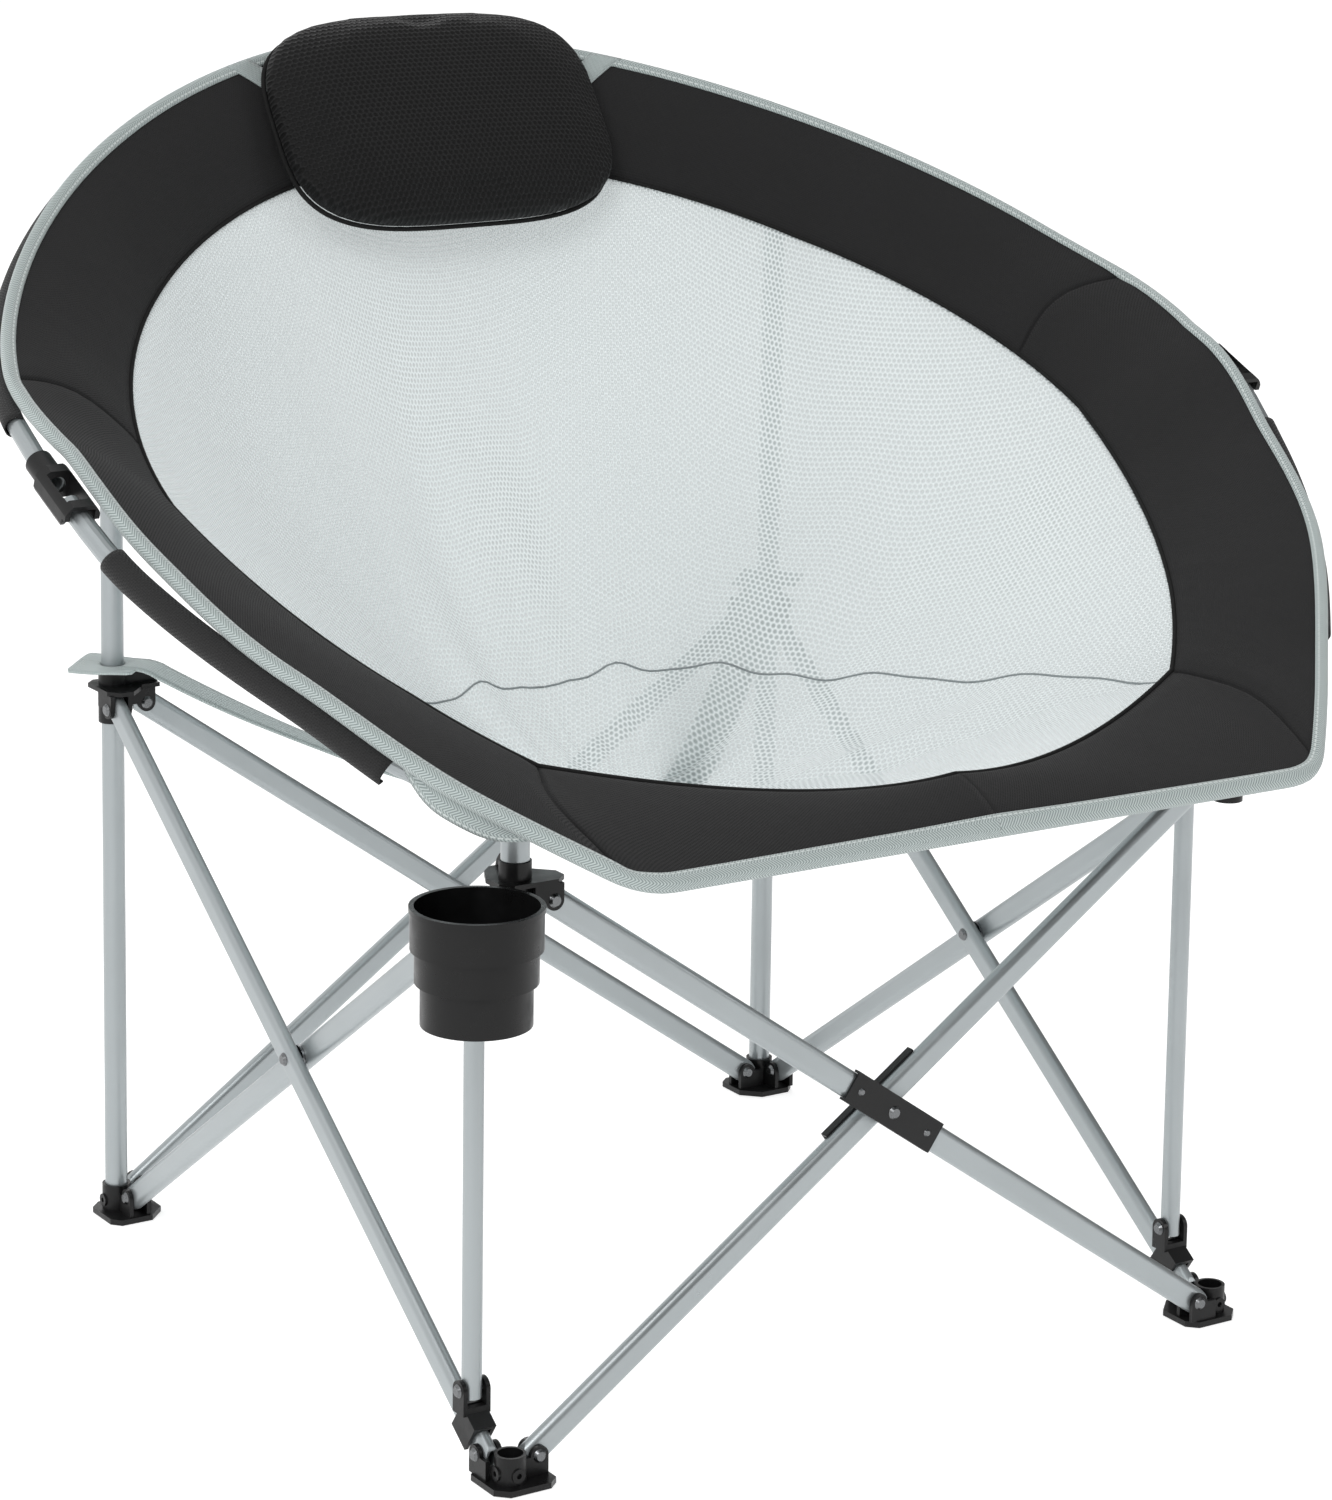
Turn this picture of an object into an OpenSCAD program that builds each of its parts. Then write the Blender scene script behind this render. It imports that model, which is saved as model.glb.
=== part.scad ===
// Folding saucer lounge chair: a round padded rim with a mesh bucket, carried
// by four scissor pairs of flat-oval tube, two rear posts and two lock struts.
// Millimetres. +Z is up, the sitter faces -Y, origin on the floor under the middle.

/* [Stand] */
// Distance between neighbouring foot sockets, centre to centre
post_span = 556; // [440:1:700]
// Height of the lower scissor pivots above the floor
foot_pivot_z = 17; // [15:0.5:30]
// Height of the upper scissor pivots above the floor
hub_pivot_z = 378.5; // [300:0.5:450]
// Distance of each pivot from its socket axis
pivot_inset = 20; // [18.5:0.5:30]

/* [Scissor tube] */
// Width of the flat-oval tube
flat_w = 18; // [14:0.5:22]
// Thickness of the flat-oval tube
flat_t = 10; // [8:0.5:14]
// Wall of every tube
tube_wall = 1.2; // [0.8:0.1:2]
// Gap between two crossing tubes, filled by the spacer
cross_gap = 2; // [1:0.5:5]
// Length of the channel plates on the front crossing
plate_len = 82; // [50:1:140]

/* [Round tubes] */
// Rear post diameter
post_d = 16; // [12:0.5:22]
// Top of the rear posts
post_top_z = 722; // [670:1:726]
// Front upright diameter
upright_d = 13; // [10:0.5:18]
// Lock strut diameter
strut_d = 13; // [10:0.5:16]
// Distance of each lock strut behind its front hub
strut_back = 37; // [32:1:60]
// Back rim tube diameter
rim_d = 13; // [10:0.5:18]
// Side rim tube diameter
side_d = 14; // [10:0.5:20]

/* [Fittings] */
// Wall of the moulded sockets
socket_wall = 2; // [1.5:0.1:5]
// Height of the foot sockets
socket_h = 22.5; // [16:0.5:40]
// Thickness of the moulded fork cheeks
cheek_t = 3; // [2:0.5:5]
// Radial fit of a rivet or pin in its holes
fit = 0.06; // [0.02:0.01:0.1]
// Rivet shank diameter
rivet_d = 5; // [3:0.5:7]
// Clearance between the parts of a pivot
play = 0.3; // [0.2:0.05:0.6]

/* [Seat] */
// Half the width of the rim
rim_half_w = 463; // [400:1:560]
// Furthest point of the rim behind the middle
rim_back_y = 389; // [330:1:460]
// Distance of the front edge in front of the middle
rim_front_y = 393; // [340:1:460]
// Half the length of the straight front edge
front_half_w = 257; // [180:1:320]
// Height of the rim above the floor over the middle
rim_mid_z = 620.5; // [560:0.5:700]
// Slope of the rim, in degrees
rim_slope = 28.27; // [20:0.1:36]
// Thickness of the padded band
band_t = 8; // [5:0.5:14]
// Thickness of the mesh
mesh_t = 2.4; // [1.5:0.1:4]
// Height of the lowest point of the bucket
bucket_z = 330; // [300:1:400]

/* [Headrest] */
// Pillow width
pillow_w = 272; // [200:1:360]
// Pillow height
pillow_h = 174; // [130:1:230]
// Pillow thickness
pillow_t = 44; // [30:1:60]

/* [Cup holder] */
// Outer diameter of the cup at its rim
cup_d = 82; // [70:1:110]
// Height of the cup
cup_h = 73; // [60:1:120]
// Wall of the cup
cup_wall = 2.4; // [1.6:0.1:4]

/* [Output] */
// Which sub-part is drawn

/* [Hidden] */
$fn = 48;
silver = [0.69, 0.71, 0.72];
black = [0.11, 0.11, 0.12];
cloth = [0.17, 0.17, 0.18];
pale = [0.80, 0.84, 0.86];
tape = [0.66, 0.70, 0.69];

half = post_span / 2;                       // a socket axis from the middle plane
reach = half - pivot_inset;                 // a pivot from the middle plane
rise = hub_pivot_z - foot_pivot_z;
arm = sqrt(4 * reach * reach + rise * rise);  // pivot to pivot along a scissor tube
tilt = atan2(rise, 2 * reach);
lane = (flat_t + cross_gap) / 2;            // each tube's offset from its side's plane
mid_z = (hub_pivot_z + foot_pivot_z) / 2;
end_r = flat_w / 2;                         // rounded tube end
fork_gap = flat_t / 2 + play;               // half the slot of a fork
fork_out = fork_gap + cheek_t;
socket_bore = post_d / 2 + 0.15;
socket_r = socket_bore + socket_wall;
hub_top = 25;                              // hub socket above the pivots
hub_low = -14;
strut_y = -(half - strut_back);
strut_lane = flat_t / 2 + strut_d / 2 + 0.9;  // strut beside the tube it hangs on
hang = (strut_back - pivot_inset) / cos(tilt);  // strut rivet along the tube, from the hub
yoke_up = 24;                               // strut's lower rivet above the tube's middle
strut_top_z = hub_pivot_z - (strut_back - pivot_inset) * tan(tilt);
strut_low_z = foot_pivot_z + (strut_back - pivot_inset) * tan(tilt) + yoke_up;

// The rim lies in one sloping plane. Its curve, seen from above, for x >= 0:
// a cubic from the back to the widest point, a bend to the corner, a straight front.
widest_y = -3;
bend = [rim_half_w + 15, -162];
function rim_z(y) = rim_mid_z + y * tan(rim_slope);
up = [0, -sin(rim_slope), cos(rim_slope)];  // square to the rim plane
function bez2(a, b, c, t) = (1-t)*(1-t)*a + 2*t*(1-t)*b + t*t*c;
function bez3(a, b, c, d, t) = (1-t)*(1-t)*(1-t)*a + 3*t*(1-t)*(1-t)*b + 3*t*t*(1-t)*c + t*t*t*d;
// u runs 0..1 along the back quarter, 1..2 along the bend, 2..3 along half the front
function outer(u) = u <= 1
    ? bez3([0, rim_back_y], [rim_half_w * 0.466, rim_back_y], [rim_half_w, 0.457 * rim_back_y], [rim_half_w, widest_y], u)
    : u <= 2 ? bez2([rim_half_w, widest_y], bend, [front_half_w, -rim_front_y], u - 1)
    : [front_half_w * (3 - u), -rim_front_y];
band_back = 77;                             // width of the band seen from above
band_side = 98;
band_front = 47;
function inner(u) = u <= 1
    ? bez3([0, rim_back_y - band_back], [189, rim_back_y - band_back], [rim_half_w - band_side, 149], [rim_half_w - band_side, -12], u)
    : u <= 2 ? bez2([rim_half_w - band_side, -12], [rim_half_w - band_side - 22, -165], [front_half_w - 10, -rim_front_y + 127], u - 1)
    : bez2([front_half_w - 10, -rim_front_y + 127], [98, -rim_front_y + band_front], [0, -rim_front_y + band_front], u - 2);
function ease(x) = let(c = min(1, max(0, x))) c * c * (3 - 2 * c);
// the cloth rides above the rim plane along the sides, where it lies on the side tubes
function raise(u) = -5 + 23 * ease((u - 0.75) / 0.35) - 5 * ease((u - 1.12) / 0.2) - 12 * ease((u - 1.58) / 0.25);
// and is drawn in beside the elbows
elbow_pull = 11;
function edge(u) = outer(u) - [elbow_pull * ease((u - 0.85) / 0.2) * (1 - ease((u - 1.28) / 0.3)), 0];
// depth of the band's inner edge below its rim plane
function dip_at(u) = let(k = min(1, max(0, (200 - inner(u)[1]) / 400))) (u <= 2 ? -57 + 26 * k : -31 + 31 * (u - 2));
function lift(p, n) = [p[0], p[1], rim_z(p[1])] + n * up;

// the elbow hinge sits on the bend
u_elbow = 1.14;
seam = outer(u_elbow);
// rim tubes below the edge of the band: room for a sleeve under the sloping cloth
tube_drop = (side_d / 2 + 2 + play) / cos(28) + band_t / 2;
pass = rim_d + 1.2;                         // the two back tubes pass each other this far apart
function pass_at(x) = let(s = min(1, max(0, (241 - abs(x)) / 23))) s * s * (3 - 2 * s) * pass;
function tube_pt(u, side) = let(p = outer(u), q = lift(p, raise(u) - tube_drop - (side > 0 ? pass_at(p[0]) : 0))) [side * q[0], q[1], q[2]];

// rear rim hinge: under the rim tube where it passes over the post
function u_at(x, a, b, n) = n == 0 ? (a + b) / 2 : let(m = (a + b) / 2) outer(m)[0] < x ? u_at(x, m, b, n - 1) : u_at(x, a, m, n - 1);
u_post = u_at(half, 0, 1, 24);
rim_over_post = tube_pt(u_post, 1);
hinge_drop = 22;
rim_pin = [half, rim_over_post[1], rim_over_post[2] - hinge_drop];
elbow_at = tube_pt(u_elbow, 1);
elbow_rise = let(d = tube_pt(u_elbow - 0.15, 1) - elbow_at) atan2(d[2], d[1]);
function behind_elbow(d, side) = [side * elbow_at[0], elbow_at[1] + d * cos(elbow_rise), elbow_at[2] + d * sin(elbow_rise)];

// ---------- helpers ----------
function cross3(a, b) = [a[1]*b[2]-a[2]*b[1], a[2]*b[0]-a[0]*b[2], a[0]*b[1]-a[1]*b[0]];
function unit(v) = v / norm(v);

// stands a copy at side k: 0 front, 1 right, 2 back, 3 left
module side(k) rotate([0, 0, 90 * k]) children();
// stands a copy at corner k: 0 front left, 1 front right, 2 rear right, 3 rear left
module corner(k) rotate([0, 0, 90 * k]) translate([-half, -half, 0]) children();

// cylinder along Y, centred
module bar_y(r, l) rotate([90, 0, 0]) cylinder(r = r, h = l, center = true);
module bar_x(r, l) rotate([0, 90, 0]) cylinder(r = r, h = l, center = true);

// round tube along Z
module round_tube(d, l) difference() {
    cylinder(d = d, h = l);
    translate([0, 0, -1]) cylinder(d = d - 2 * tube_wall, h = l + 2);
}

// flat-oval section, width w along Y and thickness t along X
module oval(w, t) {
    square([t, w - t], center = true);
    for (s = [-1, 1]) translate([0, s * (w - t) / 2]) circle(d = t);
}

// scissor tube along X from its lower pivot, thickness along Y
module scissor_tube(holes) difference() {
    intersection() {
        translate([-end_r - 1, 0, 0]) rotate([0, 90, 0]) rotate([0, 0, 90]) linear_extrude(arm + 2 * end_r + 2) oval(flat_w, flat_t);
        union() {
            translate([0, -flat_t, -flat_w]) cube([arm, 2 * flat_t, 2 * flat_w]);
            bar_y(end_r, flat_t + 2);
            translate([arm, 0, 0]) bar_y(end_r, flat_t + 2);
        }
    }
    translate([-end_r - 2, 0, 0]) rotate([0, 90, 0]) rotate([0, 0, 90])
        linear_extrude(arm + 2 * end_r + 4) oval(flat_w - 2 * tube_wall, flat_t - 2 * tube_wall);
    for (x = holes) translate([x, 0, 0]) bar_y(rivet_d / 2 + fit, flat_t + 2);
}

// rivet along Y: shank from y0 to y1 with a domed head outside each end
module rivet(y0, y1) {
    translate([0, (y0 + y1) / 2, 0]) bar_y(rivet_d / 2, y1 - y0 + 0.2);
    for (s = [0, 1]) translate([0, s ? y1 + 0.1 : y0 - 0.1, 0]) rotate([s ? -90 : 90, 0, 0])
        cylinder(r1 = rivet_d * 0.9, r2 = rivet_d * 0.6, h = 1.8);
}

// lays its children along the rising (inner) or falling (outer) tube of side k
module rising(k) side(k) translate([-reach, -half + lane, foot_pivot_z]) rotate([0, -tilt, 0]) children();
module falling(k) side(k) translate([reach, -half - lane, foot_pivot_z]) rotate([0, -180 + tilt, 0]) children();

// ---------- feet and hubs ----------
// a fork's cheek pair along +X, pivot at [pivot_inset, 0, 0], reaching down to low or up to high
cheek_r = 6.4;
module cheeks(low, high) difference() {
    for (s = [-1, 1]) translate([0, s * (fork_gap + cheek_t / 2), 0]) rotate([90, 0, 0])
        linear_extrude(cheek_t, center = true) {
            translate([pivot_inset, 0]) circle(r = cheek_r);
            translate([pivot_inset - 14, low]) square([14 + cheek_r, high - low]);
        }
    translate([pivot_inset, 0, 0]) bar_y(rivet_d / 2 + fit, 60);
}

module foot(k) color(black) corner(k) difference() {
    union() {
        linear_extrude(4) polygon([[-8, -15], [21, -15], [28, -9], [28, 15], [15, 28], [-9, 28], [-16, 21], [-16, -7]]);
        cylinder(r = socket_r, h = socket_h);
        for (a = [180, 270]) rotate([0, 0, a]) translate([socket_r - 3, 0, 11]) rotate([0, 90, 0]) cylinder(r = 4.6, h = 4);
        translate([0, lane, foot_pivot_z]) cheeks(4 - foot_pivot_z, 0);
        translate([-lane, 0, foot_pivot_z]) rotate([0, 0, 90]) cheeks(4 - foot_pivot_z, 0);
    }
    translate([0, 0, 4]) cylinder(r = socket_bore, h = socket_h);
    // the slots stay clear of the socket's wall
    translate([pivot_inset - end_r - 0.8, lane - fork_gap, 4]) cube([40, 2 * fork_gap, 60]);
    translate([-lane - fork_gap, pivot_inset - end_r - 0.8, 4]) cube([2 * fork_gap, 40, 60]);
    for (a = [180, 270]) rotate([0, 0, a]) translate([socket_r - 1, 0, 11]) rotate([0, 90, 0]) cylinder(r = 1.8, h = 10);
}

module hub(k, bore) color(black) corner(k) translate([0, 0, hub_pivot_z]) difference() {
    union() {
        translate([0, 0, 10.5]) linear_extrude(3) polygon([[-9, -15], [22, -15], [30, -8], [30, 2], [20, 12], [14, 16], [14, 30], [-1, 30], [-9, 22], [-16, 8], [-16, -8]]);
        translate([0, 0, hub_low]) cylinder(r = socket_r, h = hub_top - hub_low);
        translate([0, -lane, 0]) cheeks(0, 10.5);
        translate([lane, 0, 0]) rotate([0, 0, 90]) cheeks(0, 10.5);
        // rounded ear over the inner fork
        translate([lane, 18, 11]) rotate([0, 90, 0]) intersection() {
            cylinder(r = 13.5, h = 3, center = true);
            translate([-22, -20, -5]) cube([22, 40, 10]);
        }
    }
    translate([0, 0, hub_low - 1]) cylinder(r = bore, h = hub_top - hub_low + 2);
    translate([pivot_inset - end_r - 0.8, -lane - fork_gap, -30]) cube([40, 2 * fork_gap, 40.5]);
    translate([lane - fork_gap, pivot_inset - end_r - 0.8, -30]) cube([2 * fork_gap, 40, 40.5]);
}

module foot_front_left() foot(0);
module foot_front_right() foot(1);
module foot_rear_right() foot(2);
module foot_rear_left() foot(3);
module hub_front_left() hub(0, upright_d / 2 + 0.1);
module hub_front_right() hub(1, upright_d / 2 + 0.1);
module hub_rear_right() hub(2, post_d / 2 + play);
module hub_rear_left() hub(3, post_d / 2 + play);

// ---------- scissor tubes ----------
mid = arm / 2;
module front_rising_tube() color(silver) rising(0) difference() { scissor_tube([0, mid, arm]); plate_holes(1); }
module front_falling_tube() color(silver) falling(0) difference() { scissor_tube([0, mid, arm]); plate_holes(-1); }
module right_rising_tube() color(silver) rising(1) scissor_tube([0, mid, arm]);
module right_falling_tube() color(silver) falling(1) scissor_tube([0, mid, arm - hang, arm]);
module back_rising_tube() color(silver) rising(2) scissor_tube([0, mid, arm]);
module back_falling_tube() color(silver) falling(2) scissor_tube([0, mid, arm]);
module left_rising_tube() color(silver) rising(3) scissor_tube([0, mid, arm - hang, arm]);
module left_falling_tube() color(silver) falling(3) scissor_tube([0, mid, arm]);

// the two end rivets of a tube
module end_rivets() for (x = [0, arm]) translate([x, 0, 0]) rivet(-fork_out, fork_out);
// centre rivet through both tubes, with its spacer; drawn in the falling tube's frame,
// where the rising tube lies on the +Y side
module centre_rivet(extra) translate([mid, 0, 0]) {
    rivet(-flat_t / 2 - extra, flat_t * 1.5 + cross_gap + extra);
    translate([0, flat_t / 2 + cross_gap / 2, 0]) difference() {
        bar_y(8, cross_gap - 0.2);
        bar_y(rivet_d / 2 + fit, cross_gap + 2);
    }
}
plate_t = 1.6;
module plate_rivets(s) for (x = [-1, 1]) translate([mid + x * (plate_len / 2 - 9), s * (flat_t / 2 - tube_wall / 2), 0])
    rotate([s > 0 ? -90 : 90, 0, 0]) union() {
        cylinder(d = 3, h = tube_wall / 2 + plate_t + 0.1);
        translate([0, 0, tube_wall / 2 + plate_t + 0.1]) cylinder(d1 = 5, d2 = 3.4, h = 1.2);
    }

module rivets_front_rising() color(black) rising(0) { end_rivets(); plate_rivets(1); }
module rivets_front_falling() color(black) falling(0) { end_rivets(); centre_rivet(plate_t + 0.1); plate_rivets(-1); }
module rivets_right_rising() color(black) rising(1) end_rivets();
module rivets_right_falling() color(black) falling(1) { end_rivets(); centre_rivet(0.1); }
module rivets_back_rising() color(black) rising(2) end_rivets();
module rivets_back_falling() color(black) falling(2) { end_rivets(); centre_rivet(0.1); }
module rivets_left_rising() color(black) rising(3) end_rivets();
module rivets_left_falling() color(black) falling(3) { end_rivets(); centre_rivet(0.1); }

// channel plate on one face of a front tube, wrapping its edges
module channel_plate(s) translate([mid, 0, 0]) rotate([s > 0 ? 0 : 180, 0, 0]) difference() {
    translate([0, flat_t / 2 + 0.1, 0]) {
        translate([-plate_len / 2, 0, -flat_w / 2 - plate_t]) cube([plate_len, plate_t, flat_w + 2 * plate_t]);
        for (c = [-1, 1]) translate([-plate_len / 2, -4, c > 0 ? flat_w / 2 + 0.1 : -flat_w / 2 - plate_t - 0.1])
            cube([plate_len, 4.5, plate_t]);
    }
    bar_y(rivet_d / 2 + fit, 60);
    for (x = [-1, 1]) translate([x * (plate_len / 2 - 9), 0, 0]) bar_y(1.6, 60);
}
// the plates' small rivets have their holes in the tube walls
module plate_holes(s) for (x = [-1, 1]) translate([mid + x * (plate_len / 2 - 9), s * flat_t / 2, 0]) bar_y(1.6, 4);
module plate_front_rising() color(black) rising(0) channel_plate(1);
module plate_front_falling() color(black) falling(0) channel_plate(-1);

// ---------- posts, uprights, struts ----------
module post(k) color(silver) corner(k) translate([0, 0, 4.3]) round_tube(post_d, post_top_z - 4.3);
module post_rear_left() post(3);
module post_rear_right() post(2);

// cap on the post with a fork that carries the rim's hinge pin
head_y = rim_pin[1] - half;
module post_head(s) color(black) translate([s * half, half, 0]) {
    difference() {
        union() {
            translate([0, 0, post_top_z - 26]) cylinder(r = post_d / 2 + 3, h = 29);
            for (c = [-1, 1]) translate([c * 9.5, head_y, rim_pin[2]]) {
                bar_x(9, 4);
                translate([-2, -head_y - 9, post_top_z - 8 - rim_pin[2]]) cube([4, head_y + 13, 12]);
                rotate([0, 0, 0]) translate([-2, -8, post_top_z - 4 - rim_pin[2]]) cube([4, 16, rim_pin[2] - post_top_z + 4]);
            }
            translate([-11.5, -8, post_top_z - 2]) cube([23, 16, 5]);
        }
        translate([0, 0, post_top_z - 30]) cylinder(r = post_d / 2 + 0.1, h = 30.1);
    }
    translate([0, head_y, rim_pin[2]]) bar_x(3, 19);
}
module post_head_left() post_head(-1);
module post_head_right() post_head(1);

upright_top_z = hub_pivot_z + 38;
module upright(k) color(silver) corner(k) translate([0, 0, hub_pivot_z - 10]) round_tube(upright_d, upright_top_z - hub_pivot_z + 10);
module upright_front_left() upright(0);
module upright_front_right() upright(1);

// the side tube leaves the edge of the cloth and runs in under the band to the upright
u_leave = 1.56;
u_turn = 1.70;
rest_drop = 36;                             // the tube below the rim plane over the upright
rest_at = [half, -half, rim_z(-half - rest_drop * sin(rim_slope)) - rest_drop * cos(rim_slope)];
function run_in(t, side) = let(p = bez2(tube_pt(u_leave, 1), tube_pt(u_turn, 1), rest_at, t)) [side * p[0], p[1], p[2]];
rest_dir = unit(rest_at - tube_pt(u_turn, 1));
function past_rest(side) = let(p = rest_at + 15 * rest_dir) [side * p[0], p[1], p[2]];
// cradle on the upright, open above, that the side tube's end rests in
module seat_rest(s) color(black) mirror([s < 0 ? 1 : 0, 0, 0]) {
    low = rest_at[2] - side_d / 2 - 3.5;
    difference() {
        union() {
            translate([half, -half, hub_pivot_z + hub_top + play]) cylinder(r = upright_d / 2 + 2.5, h = low + 2 - hub_pivot_z - hub_top);
            translate([half, -half, low]) rotate([0, 0, atan2(rest_dir[1], rest_dir[0])]) translate([-11, -9, 0]) cube([22, 18, side_d / 2 + 1]);
        }
        translate([half, -half, upright_top_z - 16]) cylinder(r = upright_d / 2 + 0.1, h = 16.1);
        translate(rest_at) rotate([0, acos(rest_dir[2]), atan2(rest_dir[1], rest_dir[0])])
            cylinder(r = side_d / 2 + play, h = 80, center = true);
    }
}
module seat_rest_left() seat_rest(-1);
module seat_rest_right() seat_rest(1);

// lock struts hang on the tube that rises to the front hub, at x below
left_strut_x = -(half - lane) - strut_lane;
right_strut_x = half + lane - strut_lane;
module strut(x) color(silver) translate([x, strut_y, 0]) difference() {
    translate([0, 0, strut_low_z - 5.5]) round_tube(strut_d, strut_top_z - strut_low_z + 13.5);
    for (z = [strut_low_z, strut_top_z]) translate([0, 0, z]) bar_x(rivet_d / 2 + fit, strut_d + 2);
}
module strut_left() strut(left_strut_x);
module strut_right() strut(right_strut_x);

// each strut's two rivets: the upper one ties it to the tube, the lower one to its saddle
module strut_rivets(x, far) color(black) {
    translate([x, strut_y, strut_top_z]) rotate([0, 0, -90]) rivet(-strut_d / 2 - 0.1, far);
    translate([x, strut_y, strut_low_z]) rotate([0, 0, -90]) rivet(-strut_d / 2 - 3.4, strut_d / 2 + 3.4);
}
module strut_rivets_left() strut_rivets(left_strut_x, strut_lane + flat_t / 2);
module strut_rivets_right() strut_rivets(right_strut_x, strut_lane + flat_t / 2);

// saddle: two ears round the strut over a channel that clips on the falling
// (left) or rising (right) tube beside the front foot
saddle_len = 20;
module saddle(x, tube_x) color(black) translate([0, strut_y, strut_low_z]) difference() {
    union() {
        for (c = [-1, 1]) translate([x + c * (strut_d / 2 + 1.8), 0, 0]) {
            bar_x(6.8, 3);
            translate([-1.5, -6.8, -yoke_up + 10]) cube([3, 13.6, yoke_up - 10]);
        }
        translate([tube_x, 0, -yoke_up]) rotate([tilt, 0, 0])
            translate([-flat_t / 2 - 3, -saddle_len + 8.5, -flat_w / 2 + 0.5]) cube([flat_t + 6, saddle_len, flat_w + 3]);
        translate([x - strut_d / 2 - 3.3, -6.8, -yoke_up + 9]) cube([strut_d + 6.6, 13.6, 5]);
    }
    translate([tube_x, 0, -yoke_up]) rotate([tilt, 0, 0])
        translate([-flat_t / 2 - play, -40, -40]) cube([flat_t + 2 * play, 80, 40 + end_r + play]);
    translate([x, 0, -9.3]) cylinder(r = strut_d / 2 + play, h = 40);
    translate([x, 0, 0]) bar_x(rivet_d / 2 + fit, 60);
}
module saddle_left() saddle(left_strut_x, -half - lane);
module saddle_right() saddle(right_strut_x, half - lane);

// ---------- rim ----------
// tube through the points pts, n sides, outer radius r1 and bore r0
function frame_dir(p, i) = unit(p[min(i + 1, len(p) - 1)] - p[max(i - 1, 0)]);
function ring(p, i, r, n) = let(d = frame_dir(p, i), a = unit(cross3(d, up)), b = cross3(a, d))
    [for (k = [0:n-1]) p[i] + r * (cos(360 * k / n) * a + sin(360 * k / n) * b)];
module pipe(p, r1, r0, n = 16) {
    m = len(p);
    pts = concat([for (i = [0:m-1]) each ring(p, i, r1, n)], [for (i = [0:m-1]) each ring(p, i, r0, n)]);
    q = m * n;
    faces = concat(
        [for (i = [0:m-2], k = [0:n-1]) each [[i*n+k, i*n+(k+1)%n, (i+1)*n+(k+1)%n], [i*n+k, (i+1)*n+(k+1)%n, (i+1)*n+k]]],
        [for (i = [0:m-2], k = [0:n-1]) each [[q+i*n+k, q+(i+1)*n+k, q+(i+1)*n+(k+1)%n], [q+i*n+k, q+(i+1)*n+(k+1)%n, q+i*n+(k+1)%n]]],
        [for (k = [0:n-1]) each [[k, q+k, q+(k+1)%n], [k, q+(k+1)%n, (k+1)%n]]],
        [for (k = [0:n-1]) let(e = (m-1)*n) each [[e+k, e+(k+1)%n, q+e+(k+1)%n], [e+k, q+e+(k+1)%n, q+e+k]]]);
    polyhedron(pts, [for (f = faces) [f[2], f[1], f[0]]]);
}
elbow_half = 17;                            // elbow pin to the back tube's end
u_step = 0.0375;
// the back tubes overlap behind the pillow and end in the elbows
lap = 0.07;
function back_path(side) = concat(
    [let(p = tube_pt(lap, side)) [-p[0], p[1], p[2]], [0, tube_pt(0, side)[1], tube_pt(0, side)[2]]],
    [for (i = [2:2:floor((u_elbow - 0.2) / u_step)]) tube_pt(i * u_step, side)],
    [behind_elbow(54, side), behind_elbow(28, side)]);
module rim_back_left() color(silver) pipe(back_path(-1), rim_d / 2, rim_d / 2 - tube_wall);
module rim_back_right() color(silver) pipe(back_path(1), rim_d / 2, rim_d / 2 - tube_wall);

// the side tubes run from the elbow pins along the cloth's edge, then in to the uprights
function side_path(side) = concat([behind_elbow(5, side), behind_elbow(0, side)],
    [for (i = [1:8]) tube_pt(u_elbow + (u_leave - u_elbow) * i / 8, side)],
    [for (i = [1:8]) run_in(i / 8, side)], [past_rest(side)]);
module rim_side(s) color(silver) difference() {
    pipe(side_path(s), side_d / 2, side_d / 2 - tube_wall);
    translate([s * elbow_at[0], elbow_at[1], elbow_at[2]]) bar_x(3 + fit, 40);
}
module rim_side_left() rim_side(-1);
module rim_side_right() rim_side(1);

// hinge lug clamped round the back tube over the post
post_dir = unit(tube_pt(u_post + 0.02, 1) - tube_pt(u_post - 0.02, 1));
module rim_lug(s) color(black) mirror([s < 0 ? 1 : 0, 0, 0]) difference() {
    union() {
        translate(rim_over_post) rotate([0, acos(post_dir[2]), atan2(post_dir[1], post_dir[0])])
            cylinder(r = rim_d / 2 + 1.8, h = 22, center = true);
        translate(rim_pin) bar_x(7.5, 14);
        translate(rim_pin + [-7, -7.5, 0]) cube([14, 15, hinge_drop - 4]);
    }
    translate(rim_over_post) rotate([0, acos(post_dir[2]), atan2(post_dir[1], post_dir[0])])
        cylinder(r = rim_d / 2 + 0.5, h = 60, center = true);
    translate(rim_pin) bar_x(3 + fit, 40);
}
module rim_lug_left() rim_lug(-1);
module rim_lug_right() rim_lug(1);

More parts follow.
